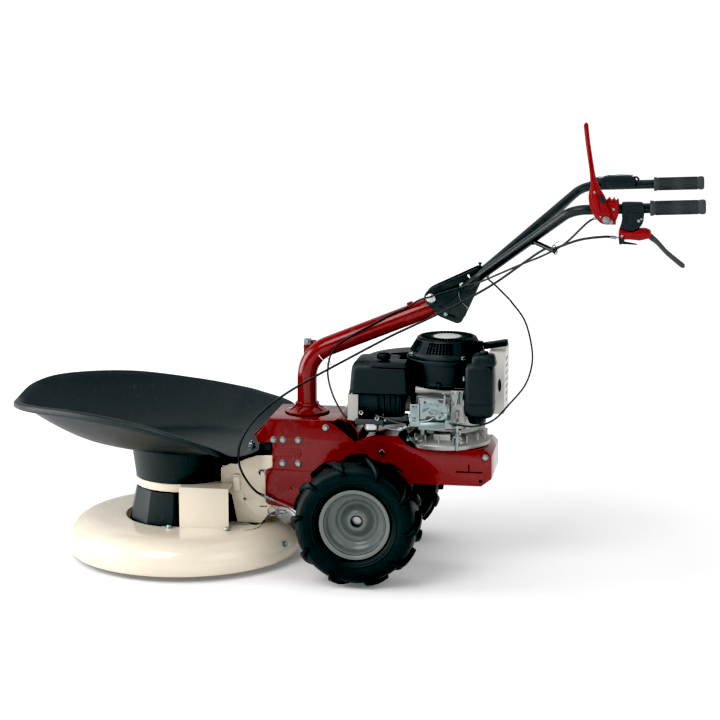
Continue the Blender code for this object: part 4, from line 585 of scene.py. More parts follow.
def walled(mesh, thickness, offset, edge=0.0):
    """Give a sheet its thickness, and round its rim where an edge is given."""
    obj = helper(mesh)
    wall = obj.modifiers.new('wall', 'SOLIDIFY')
    wall.thickness = thickness
    wall.offset = offset
    if edge:
        rim = obj.modifiers.new('edge', 'BEVEL')
        rim.width = edge
        rim.segments = 2
        rim.limit_method = 'ANGLE'
        rim.angle_limit = math.radians(50)
    return evaluated(obj)


def carved(mesh, *cutters):
    """Cut shapes out of a mesh."""
    obj = helper(mesh)
    others = [helper(cutter) for cutter in cutters]
    for other in others:
        tool = obj.modifiers.new('tool', 'BOOLEAN')
        tool.operation = 'DIFFERENCE'
        tool.solver = 'EXACT'
        tool.object = other
    made = evaluated(obj)
    for other in others:
        bpy.data.objects.remove(other, do_unlink=True)
    return made


def piece(name, mesh, finish, replaces=None, sharp=38.0, body='chassis'):
    """Make a mesh a piece of the machine that rides on a body, and that may stand for a node of
    the frame. Edges sharper than so many degrees stay sharp."""
    mesh.transform(Matrix.Translation(SHIFT))
    mesh.name = name
    mesh.materials.clear()
    mesh.materials.append(finish)
    mesh.shade_smooth()
    mesh.set_sharp_from_angle(angle=math.radians(sharp))
    obj = bpy.data.objects.new(name, mesh)
    scene.collection.objects.link(obj)
    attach(obj, body)
    if replaces:
        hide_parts(replaces)
    return obj


# Geometry trees for what repeats

def grown(title, inputs, build, finish, base=None):
    """Run a geometry tree with named inputs and return the plain mesh that it makes."""
    tree = bpy.data.node_groups.new(title, 'GeometryNodeTree')
    tree.interface.new_socket('Geometry', in_out='OUTPUT', socket_type='NodeSocketGeometry')
    tree.interface.new_socket('Geometry', in_out='INPUT', socket_type='NodeSocketGeometry')
    keys = {}
    for name, value in inputs.items():
        kind = {int: 'Int', float: 'Float', tuple: 'Vector'}.get(type(value), 'Object')
        socket = tree.interface.new_socket(name, in_out='INPUT', socket_type='NodeSocket' + kind)
        keys[socket.identifier] = value
    graph = Graph(tree)
    source = graph.add('NodeGroupInput')
    made = build(graph, source)
    whole = graph.add('GeometryNodeRealizeInstances', None, {'Geometry': made})
    painted = graph.add('GeometryNodeSetMaterial', None, {'Geometry': whole, 'Material': finish})
    graph.add_output(painted)
    obj = helper(base or bpy.data.meshes.new('seed'))
    modifier = obj.modifiers.new(title, 'NODES')
    modifier.node_group = tree
    for identifier, value in keys.items():
        modifier[identifier] = value
    return evaluated(obj)


def spread(title, shape, inputs, build, finish, base=None):
    """Run a tree that places copies of a mesh, which a hidden object carries in."""
    carrier = helper(shape)
    carrier.hide_render = True
    made = grown(title, {'Shape': carrier, **inputs}, build, finish, base)
    bpy.data.objects.remove(carrier, do_unlink=True)
    return made


def ring_tree(graph, source):
    """Copies of an object turned about z, each one step further."""
    line = graph.add('GeometryNodeMeshLine', None, {'Count': source.out('Count'),
                                                    'Offset': (0.0, 0.0, 0.0)})
    angle = graph.add('GeometryNodeInputIndex') * source.out('Step') + source.out('Start')
    rotation = graph.add('FunctionNodeAxisAngleToRotation', None,
                         {'Axis': (0.0, 0.0, 1.0), 'Angle': angle})
    shape = graph.add('GeometryNodeObjectInfo', None, {'Object': source.out('Shape')}, 'Geometry')
    return graph.add('GeometryNodeInstanceOnPoints', None,
                     {'Points': line, 'Instance': shape, 'Rotation': rotation})


def ring_of(title, shape, count, finish, start=0.0):
    """Count copies of a mesh evenly round the upright axis."""
    inputs = {'Count': count, 'Step': 2 * math.pi / count, 'Start': math.radians(start)}
    return spread(title, shape, inputs, ring_tree, finish)


def row_tree(graph, source):
    """Copies of an object in a straight row."""
    line = graph.add('GeometryNodeMeshLine', None,
                     {'Count': source.out('Count'), 'Offset': source.out('Spacing')})
    shape = graph.add('GeometryNodeObjectInfo', None, {'Object': source.out('Shape')}, 'Geometry')
    return graph.add('GeometryNodeInstanceOnPoints', None, {'Points': line, 'Instance': shape})


def row_of(title, shape, count, spacing, finish):
    """Count copies of a mesh, each moved by the spacing."""
    return spread(title, shape, {'Count': count, 'Spacing': tuple(map(float, spacing))}, row_tree,
                  finish)


def fastener_tree(graph, source):
    """One head on each point, along the point's own direction and of its own size."""
    way = graph.add('GeometryNodeInputNamedAttribute', {'data_type': 'FLOAT_VECTOR'},
                    {'Name': 'way'})
    size = graph.add('GeometryNodeInputNamedAttribute', {'data_type': 'FLOAT'}, {'Name': 'size'})
    rotation = graph.add('FunctionNodeAlignRotationToVector', {'axis': 'Z'}, {'Vector': way})
    shape = graph.add('GeometryNodeObjectInfo', None, {'Object': source.out('Shape')}, 'Geometry')
    return graph.add('GeometryNodeInstanceOnPoints', None,
                     {'Points': source, 'Instance': shape, 'Rotation': rotation,
                      'Scale': size * source.out('Scale')})


def hex_head():
    """Hexagon bolt head of unit width across flats on a washer, with a chamfered top."""
    bm = bmesh.new()
    rings = []
    for height, inset in ((0.16, 0.0), (0.62, 0.0), (0.72, 1.0), (0.7, 0.55)):
        ring = []
        for i in range(48):
            angle = 2 * math.pi * i / 48
            flat = 0.5 / math.cos((angle + math.pi / 6) % (math.pi / 3) - math.pi / 6)
            radius = flat if inset == 0.0 else 0.46 * inset
            drop = max(flat - 0.5, 0.0) * 0.55 if height == 0.62 else 0.0
            ring.append(bm.verts.new((radius * math.cos(angle), radius * math.sin(angle),
                                      height - drop)))
        rings.append(ring)
    skin(bm, rings)
    bm.faces.new(rings[-1])
    bm.faces.new(rings[0][::-1])
    head = from_bm(bm)
    washer = lathe([(0.0, 0.0), (0.66, 0.0), (0.68, 0.03), (0.66, 0.13), (0.6, 0.16), (0.0, 0.16)],
                   40)
    return together(head, washer)


def pan_head():
    """Domed screw head of unit width with a cross recess."""
    dome = lathe([(0.0, 0.0), (0.5, 0.0), (0.5, 0.1), (0.44, 0.22), (0.28, 0.3),
                  (0.12, 0.325), (0.0, 0.33)], 36)
    slots = [block((-0.3, -0.05, 0.2), (0.3, 0.05, 0.5), 0.01, 1),
             block((-0.05, -0.3, 0.2), (0.05, 0.3, 0.5), 0.01, 1)]
    return carved(dome, *slots)


def nut_head():
    """Hexagon nut of unit width with the bolt's end standing out of it."""
    stud = lathe([(0.0, 0.5), (0.27, 0.5), (0.27, 1.0), (0.22, 1.06), (0.0, 1.06)], 28)
    return together(hex_head(), stud)


HEADS = {'hex': hex_head, 'pan': pan_head, 'nut': nut_head}


def fasteners(name, spots, kind='hex', body='chassis'):
    """Plated bolt heads, nuts or screws at (place, direction, width across the head)."""
    points = bpy.data.meshes.new('spots')
    points.from_pydata([place for place, way, size in spots], [], [])
    points.attributes.new('way', 'FLOAT_VECTOR', 'POINT')
    points.attributes.new('size', 'FLOAT', 'POINT')
    for i, (place, way, size) in enumerate(spots):
        points.attributes['way'].data[i].vector = way
        points.attributes['size'].data[i].value = size
    mesh = spread('fasteners_' + kind, HEADS[kind](), {'Scale': 1.0}, fastener_tree, ZINC, points)
    piece(name, mesh, ZINC, sharp=30.0, body=body)


def coil_tree(graph, source):
    """Wire spring along z."""
    spiral = graph.add('GeometryNodeCurveSpiral', None,
                       {'Resolution': 20, 'Rotations': source.out('Turns'),
                        'Start Radius': source.out('Radius'), 'End Radius': source.out('Radius'),
                        'Height': source.out('Length')})
    section = graph.add('GeometryNodeCurvePrimitiveCircle', None,
                        {'Resolution': 8, 'Radius': source.out('Wire')})
    return graph.add('GeometryNodeCurveToMesh', None,
                     {'Curve': spiral, 'Profile Curve': section, 'Fill Caps': True})


def coil(radius, turns, length, thickness, finish):
    """Wire spring that stands on its end at the origin."""
    return grown('coil_spring', {'Radius': radius, 'Turns': float(turns), 'Length': length,
                                 'Wire': thickness}, coil_tree, finish)


# Camera, light and floor

def studio():
    camera = bpy.data.objects.new('camera', bpy.data.cameras.new('camera'))
    camera.data.sensor_width = 36.0
    camera.data.lens = 103.6
    camera.data.clip_end = 100.0
    camera.location = Vector((0.7771, -5.178, 1.521)) + SHIFT
    look = Vector((-0.15116, 0.97082, -0.18618))
    camera.rotation_euler = look.to_track_quat('-Z', 'Y').to_euler()
    scene.collection.objects.link(camera)
    scene.camera = camera
    scene.view_settings.view_transform = 'Standard'
    scene.view_settings.look = 'None'
    scene.view_settings.use_curve_mapping = True
    levels = scene.view_settings.curve_mapping
    levels.black_level = (0.028, 0.025, 0.0255)
    levels.white_level = (0.75, 0.75, 0.75)
    levels.update()

    world = bpy.data.worlds.new('studio')
    scene.world = world
    world.use_nodes = True
    sky = world.node_tree.nodes['Background']
    sky.inputs['Color'].default_value = (1.0, 1.0, 1.0, 1.0)
    seen = Graph(world.node_tree).add('ShaderNodeLightPath')
    world.node_tree.links.new((seen * (1.0 - AMBIENT) + AMBIENT).link, sky.inputs['Strength'])

    floor = Finish('studio_floor', Roughness=0.9, Emission_Strength=1.0)
    tone = floor.noise(0.6, 2.0)
    reach = floor.add('ShaderNodeVectorMath', {'operation': 'LENGTH'}, {0: floor.place}, 'Value')
    # Painted light: the floor glows, dimmer near the machine so its shadows stay and brighter far
    # out so the floor reads white
    glow = floor.ramp(reach / 10.0, (0.09, 0.08), (0.3, 0.46))
    floor.set(Base_Color=floor.mix(tone, (0.9, 0.9, 0.9), (0.92, 0.92, 0.92)), Emission_Color=glow)
    ground = bpy.data.objects.new('floor', lathe([(0.0, 0.0), (30.0, 0.0)], 64))
    ground.location = (0.0, 0.0, -0.0002)
    ground.data.materials.append(floor.material)
    scene.collection.objects.link(ground)

    for name, place, aim, size, power in (
            ('key', (-1.6, -3.2, 3.6), (-0.1, 0.0, 0.3), 2.4, 74.0),
            ('fill', (2.8, -2.6, 2.4), (0.1, 0.0, 0.4), 2.2, 20.0),
            ('left', (-3.2, -0.5, 1.1), (-0.6, 0.0, 0.2), 2.0, 55.0),
            ('top', (0.0, 0.6, 3.8), (0.0, 0.0, 0.3), 3.2, 20.0),
            ('back', (-1.5, 3.4, 2.4), (0.0, 0.0, 0.5), 2.4, 5.0)):
        lamp = bpy.data.objects.new(name, bpy.data.lights.new(name, 'AREA'))
        lamp.data.shape = 'SQUARE'
        lamp.data.size = size
        lamp.data.energy = power
        lamp.location = place
        lamp.rotation_euler = (Vector(aim) - Vector(place)).to_track_quat('-Z', 'Y').to_euler()
        scene.collection.objects.link(lamp)


studio()


# Wheels

def wheel(side, label):
    """Lug tyre and pressed rim, drawn with the outer face towards +z."""
    place = at(0, side * WHEEL_Y, AXLE_Z) @ turn(-90 * side, 'X')
    body = 'wheel_' + label
    flank = [(0.0905, 0.0466), (0.0935, 0.05), (0.0985, 0.0548), (0.1035, 0.0562), (0.105, 0.058),
             (0.1065, 0.0582), (0.108, 0.0575), (0.118, 0.0606), (0.128, 0.0612), (0.138, 0.059),
             (0.146, 0.053), (0.1505, 0.044), (0.1525, 0.03), (0.1532, 0.015), (0.1533, 0.0)]
    outer = [(0.0768, 0.034), (0.0768, 0.0462)] + flank
    inner = [(0.14, 0.0), (0.1395, 0.038), (0.124, 0.049), (0.105, 0.044), (0.09, 0.033)]
    profile = outer + [(r, -y) for r, y in reversed(outer[:-1])]
    profile += [(r, -y) for r, y in reversed(inner)] + inner[1:]
    profile = eased(profile, 0.0016, 2)
    carcass = lathe(profile + profile[:1], 120)
    rows = []
    for row, start in ((1, 9.0), (-1, 27.0)):
        lug = moved(tyre_lug(), Matrix.Scale(row, 4, (0, 0, 1)))
        rows.append(ring_of('tread_lugs', lug, 10, TYRE_RUBBER, start))
    tyre = moved(together(carcass, *rows), place)
    piece('lug_tyre_' + label, tyre, TYRE_RUBBER, 'tyre_' + label, 42.0, body=body)

    edge = 0.05
    face = 0.013
    outside = [(0.0895, edge - 0.0025), (0.0885, edge), (0.085, edge - 0.0002),
               (0.079, edge - 0.003), (0.0745, edge - 0.008), (0.0733, edge - 0.013),
               (0.0733, 0.022), (0.072, 0.0175), (0.069, 0.015), (0.064, 0.0118), (0.059, 0.0098),
               (0.0545, 0.0072), (0.052, 0.002), (0.048, -0.0025), (0.043, -0.0028), (0.038, 0.0),
               (0.032, 0.0055), (0.0275, 0.01), (0.0235, 0.0125), (0.02, face), (0.015, face),
               (0.0128, face - 0.0004), (0.0124, face - 0.001), (0.0124, -0.039)]
    back = [(0.02, -0.039), (0.02, -0.0045), (0.043, -0.009), (0.055, -0.002), (0.0733, 0.01),
            (0.0733, 0.004 - edge), (0.085, -edge), (0.0885, -edge), (0.0895, 0.0025 - edge),
            (0.088, 0.0034 - edge), (0.079, 0.006 - edge), (0.0766, 0.011 - edge),
            (0.0766, edge - 0.011), (0.079, edge - 0.006), (0.088, edge - 0.0034)]
    rim = lathe(eased(outside, 0.0016, 3, False) + back + outside[:1], 120)
    piece('pressed_rim_' + label, moved(rim, place), WHEEL_GREY, 'rim_' + label, 50.0, body=body)
    bush = lathe([(0.0124, -0.0005), (0.0124, face + 0.001), (0.015, face + 0.001),
                  (0.0158, face + 0.0002), (0.0158, face - 0.0006), (0.0124, -0.0005)], 48)
    piece('hub_bush_' + label, moved(bush, place), LEVER_PLASTIC, body=body)


def tyre_lug():
    """One bar lug, swept back from the middle of the tread and down over the shoulder."""
    spine = [(0.152, 0.0024, 0.013, 0.0105), (0.152, 0.018, 0.0128, 0.011),
             (0.1512, 0.034, 0.012, 0.011), (0.148, 0.05, 0.0108, 0.0105),
             (0.144, 0.057, 0.0096, 0.0072), (0.138, 0.0606, 0.008, 0.004),
             (0.129, 0.062, 0.0062, 0.0022)]
    leans = [(1, 0), (1, 0.02), (1, 0.1), (0.92, 0.4), (0.72, 0.7), (0.35, 0.94), (0.1, 1.0)]
    bm = bmesh.new()
    sections = []
    for (r, y, high, wide), (up, out) in zip(spine, leans):
        sweep = -4.4 * y - (0.0 if y < 0.055 else 1.2 * (0.144 - r))
        ring = []
        for rise, half in ((-0.004, wide), (high * 0.8, wide * 0.78), (high, wide * 0.62),
                           (high, -wide * 0.62), (high * 0.8, -wide * 0.78), (-0.004, -wide)):
            radius = r + rise * up
            angle = sweep + half / r
            ring.append(bm.verts.new((radius * math.cos(angle), radius * math.sin(angle),
                                      y + rise * out * 0.35)))
        sections.append(ring)
    skin(bm, sections)
    bm.faces.new(sections[0])
    bm.faces.new(sections[-1])
    bmesh.ops.recalc_face_normals(bm, faces=bm.faces)
    sharp = [e for e in bm.edges if e.calc_face_angle(0.0) > 0.6]
    bmesh.ops.bevel(bm, geom=sharp, offset=0.0012, segments=2, profile=0.5, affect='EDGES',
                    clamp_overlap=True)
    return from_bm(bm)


for wheel_side, wheel_label in SIDES:
    wheel(wheel_side, wheel_label)


# Chassis

def chassis():
    notch = 0.322
    front = [(-0.2475, 0.3825), (-0.286, 0.338), (-0.279, notch), (-0.2435, notch),
             (-0.2435, 0.257), (-0.262, 0.25), (-0.262, 0.163), (-0.248, 0.157),
             (-0.185, 0.15), (-0.06, 0.112), (0.03, 0.108), (0.06, 0.14), (0.06, 0.238),
             (-0.02, 0.326), (-0.092, 0.3825)]
    radii = [0.004, 0.006, 0.003, 0.002, 0.003, 0.006, 0.006, 0.006, 0.01, 0.012, 0.012, 0.012,
             0.012, 0.012, 0.018]
    spots = [(-0.24, 0.331), (-0.215, 0.332), (-0.175, 0.332), (-0.216, 0.27),
             (-0.175, 0.271), (-0.104, 0.367)]
    for side, label in SIDES:
        inner = side * (CHASSIS_Y - 0.005)
        outer = side * CHASSIS_Y
        holes = [circle(0.0, AXLE_Z, 0.0134, 32), circle(-0.19, 0.205, 0.0035, 16)]
        sheet = plate([eased(front, radii)] + holes, min(inner, outer), max(inner, outer), 0.0007)
        piece('chassis_plate_' + label, sheet, RED, 'side_plate_' + label)
        strip = plate([eased([(-0.2425, 0.309), (-0.2425, 0.287), (-0.172, 0.287),
                              (-0.168, 0.291), (-0.168, 0.309)], 0.002)],
                      *sorted((outer - side * 0.001, outer + side * 0.0012)), 0.0008, 3)
        piece('embossed_strip_' + label, strip, RED)
        bolts = [((x, outer, z), (0, side, 0), 0.0125) for x, z in spots]
        fasteners('chassis_bolts_' + label, bolts)
    piece('top_sheet', refined('top_plate', 0.0012, 3), RED, 'top_plate')

    deck = refined('engine_deck', 0.0012, 3)
    slot = plate([[(0.231, 0.263), (0.299, 0.263), (0.299, 0.266), (0.2655, 0.266), (0.2655, 0.284),
                   (0.2625, 0.284), (0.2625, 0.266), (0.231, 0.266)]], -0.2, 0.0, 0.0001, 0)
    drain = plate([circle(0.294, 0.242, 0.0042, 20)], -0.2, 0.0, 0.0001, 0)
    piece('deck_tray', carved(deck, slot, drain), RED, 'engine_deck')
    # Painted shade: a dark sheet inside the deck behind its slot, standing in for the shade in
    # there
    slot_shade = block((0.226, -0.0902, 0.2365), (0.302, -0.0888, 0.296), 0.0004, 1)
    piece('deck_liner', slot_shade, SHADOW)
    for side, label in SIDES:
        out = side * (CHASSIS_Y + 0.0043)
        fasteners('deck_bolts_' + label, [((0.306, out, 0.305), (0, side, 0), 0.0115),
                                          ((0.042, out, 0.309), (0, side, 0), 0.0105)])
    piece('gear_case', refined('gearbox_housing', 0.002, 2), GEAR_CAST, 'gearbox_housing')


chassis()


# Mowing head

def head():
    slot = plate([eased([(-0.279, 0.15), (-0.259, 0.15), (-0.259, 0.1535), (-0.279, 0.1535)],
                        0.0012, 3)], -0.0865, -0.0785, 0.0001, 0)
    piece('head_weldment', carved(refined('head_frame', 0.0007, 2), slot), CREAM, 'head_frame')
    centre = at(DRUM_X, 0, 0)
    crown = [(0.158, 0.103), (0.162, 0.1036), (0.215, 0.1034), (0.236, 0.103), (0.262, 0.1),
             (0.282, 0.0915), (0.297, 0.078), (0.3055, 0.064), (0.3095, 0.05),
             (0.3095, 0.04), (0.3065, 0.028), (0.3025, 0.021), (0.3005, 0.0185)]
    gap = 27.0
    sweep = 360.0 - 2 * gap
    steps = 150
    sheet = walled(lathe(eased(crown, 0.008, 3, False), steps, sweep, gap), 0.003, 1.0)
    lip = wire([(*on_circle(0.3, gap + sweep * i / steps), 0.0197) for i in range(steps + 1)],
               0.0021, 12)
    piece('skirt_ring', moved(together(sheet, lip), centre), CREAM, 'skirt')
    inside = eased([(r - 0.0033, z - 0.001) for r, z in crown[3:]], 0.006, 3, False)
    panel = walled(lathe(inside, 36, 72.0, -36.0), 0.003, 1.0)
    piece('skirt_back', moved(panel, centre), CREAM, 'skirt_rear_panel')

    foot = 0.2123
    shell = [(0.0, 0.2985), (0.135, 0.2985), (0.1388, 0.2962), (0.1385, 0.292),
             (0.1283, foot + 0.001), (0.1278, foot + 0.0002), (0.125, foot + 0.0002),
             (0.1355, 0.294), (0.0, 0.2955)]
    cap = lathe(eased(shell, 0.0012, 3, False), 120)
    slot = block((0.09, -0.068, foot - 0.01), (0.15, 0.068, 0.256), 0.004)
    piece('pulley_cover', moved(carved(cap, slot), centre), DISH_PLASTIC, 'upper_cover', 30.0)
    piece('cone_of_drum', refined('drum_cone', 0.0016, 3, 20.0), DISH_PLASTIC, 'drum_cone', 24.0,
          body='drum')
    piece('fine_bearing_housing', refined('bearing_housing', 0.0008), CAST_ALLOY, 'bearing_housing',
          30.0)
    for node, edge, body in (('drum_shaft', 0.0006, 'drum'), ('cutting_disc', 0.0006, 'drum'),
                             ('skid_dish', 0.0006, 'skid'), ('blade_1', 0.0005, 'blade_one'),
                             ('blade_2', 0.0005, 'blade_two'), ('blade_3', 0.0005, 'blade_three')):
        piece('fine_' + node, refined(node, edge), STEEL, node, 30.0, body=body)


head()


# Collecting dish

DISH_TIP = -0.941
DISH_LENGTH = 0.679
DISH_HALF_WIDTH = 0.31
DISH_DEPTH = 0.13
DISH_FLOOR = 0.3028

# Rim from the tip along the left side to the rear and back along the right side, each point
# as shares of the dish's length, half width and depth
DISH_RIM = [(0.0, 0.0, 0.76), (0.034, -0.26, 0.81), (0.134, -0.52, 0.86), (0.355, -0.8, 0.915),
            (0.6, -0.97, 0.8), (0.775, -1.0, 0.56), (0.87, -0.935, 0.355),
            (0.913, -0.763, 0.132), (0.932, -0.536, 0.017), (0.971, -0.325, 0.009),
            (1.0, 0.0, 0.009), (1.003, 0.292, 0.032), (1.018, 0.552, 0.194),
            (1.012, 0.763, 0.43), (0.87, 0.935, 0.575), (0.775, 1.0, 0.645),
            (0.6, 0.97, 0.8), (0.355, 0.8, 1.0), (0.134, 0.52, 1.05), (0.034, 0.26, 0.97)]


def dish_rim(place):
    """Point of the rim on a curve through DISH_RIM, at a place counted in its points."""
    first = math.floor(place + 0.000001)
    t = place - first
    a, b, c, d = (Vector(DISH_RIM[(first + step) % len(DISH_RIM)]) for step in (-1, 0, 1, 2))
    point = (b * 2 + (c - a) * t + (a * 2 - b * 5 + c * 4 - d) * t ** 2
             + (b * 3 - a - c * 3 + d) * t ** 3) / 2
    return (DISH_TIP + DISH_LENGTH * point.x, DISH_HALF_WIDTH * point.y,
            DISH_FLOOR + DISH_DEPTH * point.z)


def dish():
    """Shell that is flat to half way out from over the drum and curves up from there to its rim,
    which is rolled over outwards."""
    finer = 8
    steps = finer * len(DISH_RIM)
    rim = [dish_rim(i / finer) for i in range(steps)]
    bm = bmesh.new()
    rings = []
    count = 28
    flat = 0.5
    for i in range(count + 1):
        share = i / count
        rise = max((share - flat) / (1 - flat), 0.0) ** 1.5
        rings.append([bm.verts.new((DRUM_X + (x - DRUM_X) * share, y * share,
                                    DISH_FLOOR + (z - DISH_FLOOR) * rise)) for x, y, z in rim])
    for reach, drop in ((0.0045, 0.0002), (0.0085, 0.0022), (0.0108, 0.0065), (0.0114, 0.012),
                        (0.011, 0.018)):
        ring = []
        for x, y, z in rim:
            out = Vector((x - DRUM_X, y, 0.0)).normalized()
            fall = drop * min((z - 0.2945) / 0.018, 1.0)
            ring.append(bm.verts.new(Vector((x, y, z - fall)) + out * reach))
        rings.append(ring)
    skin(bm, rings)
    bmesh.ops.remove_doubles(bm, verts=bm.verts, dist=0.00001)
    bmesh.ops.recalc_face_normals(bm, faces=bm.faces)
    if sum(face.normal.z for face in bm.faces) < 0:
        bmesh.ops.reverse_faces(bm, faces=bm.faces)
    shell = walled(from_bm(bm, outwards=False), 0.004, -1.0, 0.0012)
    foot = block((-0.278, -0.089, 0.3), (-0.2445, 0.089, 0.321), 0.003, 4)
    piece('collecting_dish', together(shell, foot), DISH_PLASTIC, 'dish', 40.0)
    spots = [((-0.303, side * 0.06, 0.3035), (0, 0, 1), 0.015) for side in (-1, 1)]
    fasteners('dish_bolts', spots, 'nut')


dish()


# Springs, bolts and the cable's end round the hitch

def hitch_details():
    tab = together(block((-0.3445, -0.101, 0.1935), (-0.3275, -0.0845, 0.232), 0.0028, 4),
                   block((-0.3438, -0.0975, 0.23), (-0.3282, -0.0845, 0.2365), 0.002, 3))
    piece('hitch_lug', tab, CREAM)
    feet = [(x, side * 0.1665) for side in (-1, 1) for x in (-0.499, -0.348)]
    spots = [((*foot, 0.1064), (0, 0, 1), 0.0115) for foot in feet]
    for angle in (-21.5, 21.5):
        out = Vector((*on_circle(1.0, angle), 0.25)).normalized()
        spots.append(((*on_circle(0.3068, angle, DRUM_X), 0.061), out, 0.0115))
    fasteners('skirt_bolts', spots)
    washers = [bar((*foot, 0.1062), (*foot, 0.1074), 0.0085, 28) for foot in feet]
    piece('leg_washers', together(*washers), ZINC)
    brake = moved(coil(0.0042, 22, 0.043, 0.0006, STEEL),
                  facing((1, 0.12, 0), (-0.347, -0.111, 0.1086)))
    piece('brake_spring', brake, STEEL)
    eye = moved(coil(0.0116, 2, 0.005, 0.0011, ZINC),
                facing((0, -1, 0), (-0.2437, -0.0905, 0.1417)))
    piece('catch_spring', eye, ZINC)
    line = strand([(-0.204, -0.092, 0.14), (-0.233, -0.0935, 0.133), (-0.256, -0.0945, 0.128),
                   (-0.268, -0.105, 0.11), (-0.279, -0.129, 0.1048), (-0.303, -0.156, 0.1045)], 30,
                  0.0009, 8)
    hook = strand([(-0.2765, -0.0868, 0.237), (-0.278, -0.089, 0.243),
                   (-0.274, -0.0895, 0.248), (-0.264, -0.0925, 0.249)], 16, 0.0019)
    piece('catch_wires', together(line, hook), BLACK_PAINT)
    pin = bar((-0.269, -0.084, 0.2395), (-0.269, -0.0905, 0.2395), 0.0042, 24, 0.001)
    piece('hitch_pin_cap', pin, WHITE_CAP)
    start = Vector((-0.265, -0.0986, 0.1836))
    along = Vector((0.047, -0.001, -0.019)).normalized()
    screw = [bar(start + along * low, start + along * high, radius, sides, edge)
             for low, high, radius, sides, edge in (
                 (0.0, 0.03, 0.003, 20, 0.0005), (0.002, 0.013, 0.0046, 6, 0.0004),
                 (0.0165, 0.0215, 0.005, 6, 0.0004), (0.028, 0.125, 0.0013, 12, 0.0002))]
    clevis = [block((-0.224, -0.099, 0.1395), (-0.208, -0.0915, 0.1465), 0.0012, 2),
              bar((-0.229, -0.095, 0.137), (-0.229, -0.0905, 0.149), 0.0022, 16)]
    piece('cable_adjuster', together(*screw, *clevis), ZINC)


hitch_details()


# Engine

def stacked(outline, levels):
    """Closed moulded shape: one outline at several heights, each grown by its own amount."""
    xs = [x for x, y in outline]
    ys = [y for x, y in outline]
    middle = ((min(xs) + max(xs)) / 2, (min(ys) + max(ys)) / 2)
    size = (max(xs) - min(xs), max(ys) - min(ys))
    bm = bmesh.new()
    rings = []
    for z, grow in levels:
        scale = [1 + 2 * grow / s for s in size]
        rings.append([bm.verts.new((middle[0] + (x - middle[0]) * scale[0],
                                    middle[1] + (y - middle[1]) * scale[1], z))
                      for x, y in outline])
    skin(bm, rings)
    bm.faces.new(rings[0])
    bm.faces.new(rings[-1])
    return from_bm(bm)


def on_crank(mesh):
    """Move a mesh that is drawn about the upright axis to the crankshaft."""
    return moved(mesh, at(CRANK_X, 0, 0))


def box_plan(x_low, x_high, y_low, y_high, radius, steps=6):
    """Outline of a rectangle with rounded corners."""
    return eased([(x_low, y_low), (x_high, y_low), (x_high, y_high), (x_low, y_high)], radius,
                 steps)


def sump():
    z = 0.3223
    top = z + 0.05
    wall = [(0.0129, top), (0.084, top), (0.0865, top - 0.0015), (0.0872, top - 0.006),
            (0.085, top - 0.008), (0.085, top - 0.012), (0.09, top - 0.016),
            (0.0945, z + 0.03), (0.104, z + 0.018), (0.1115, z + 0.0125), (0.113, z + 0.01),
            (0.113, z + 0.0015), (0.1115, z), (0.0129, z), (0.0129, top)]
    body = lathe(wall, 120)
    ribs = ring_of('sump_ribs', block((0.07, -0.0018, z + 0.006), (0.106, 0.0018, z + 0.036),
                                      0.0012, 2), 18, CAST_ALLOY, 6.0)
    bosses = []
    for angle in SUMP_EARS:
        x, y = on_circle(SUMP_EAR_R, angle)
        bosses.append(bar((x, y, z + 0.002), (x, y, z + 0.023), 0.0105, 28, 0.0015, 0.0095))
        near = (x * 0.92, y * 0.92)
        bosses.append(bar((*near, z + 0.012), (*near, top - 0.001), 0.007, 20, 0.001))
    pad = moved(block((-0.0225, -0.008, -0.0155), (0.0225, 0.012, 0.0155), 0.0035, 4),
                at(0.0, -0.0915, z + 0.0275) @ turn(12, 'X'))
    drain = bar((-0.07, -0.062, z + 0.02), (-0.088, -0.078, z + 0.02), 0.009, 24, 0.001)
    sheets = [ribs, pad, drain] + bosses
    piece('sump_casting', on_crank(together(body, *sheets)), CAST_ALLOY, 'engine_base', 30.0)
    gasket = lathe([(0.06, top - 0.0004), (0.0868, top - 0.0004), (0.0868, top + 0.0006),
                    (0.06, top + 0.0006), (0.06, top - 0.0004)], 96)
    piece('sump_gasket', on_crank(gasket), SHADOW)
    spots = [((*on_circle(radius, angle, CRANK_X), height), (0, 0, 1), size)
             for radius, angles, height, size in (
                 (SUMP_EAR_R, SUMP_EARS, z + 0.0225, 0.012),
                 (FLANGE_R, FLANGE_EARS, top + 0.0095, 0.0085)) for angle in angles]
    spots += [((0.108, -0.0775, z + 0.02), (-0.75, -0.66, 0), 0.0135),
              ((CRANK_X + 0.0405, -0.1025, z + 0.026), (0, -1, 0), 0.01),
              ((CRANK_X - 0.063, -0.0905, z + 0.026), (-0.5, -0.86, 0), 0.009)]
    fasteners('sump_bolts', spots)


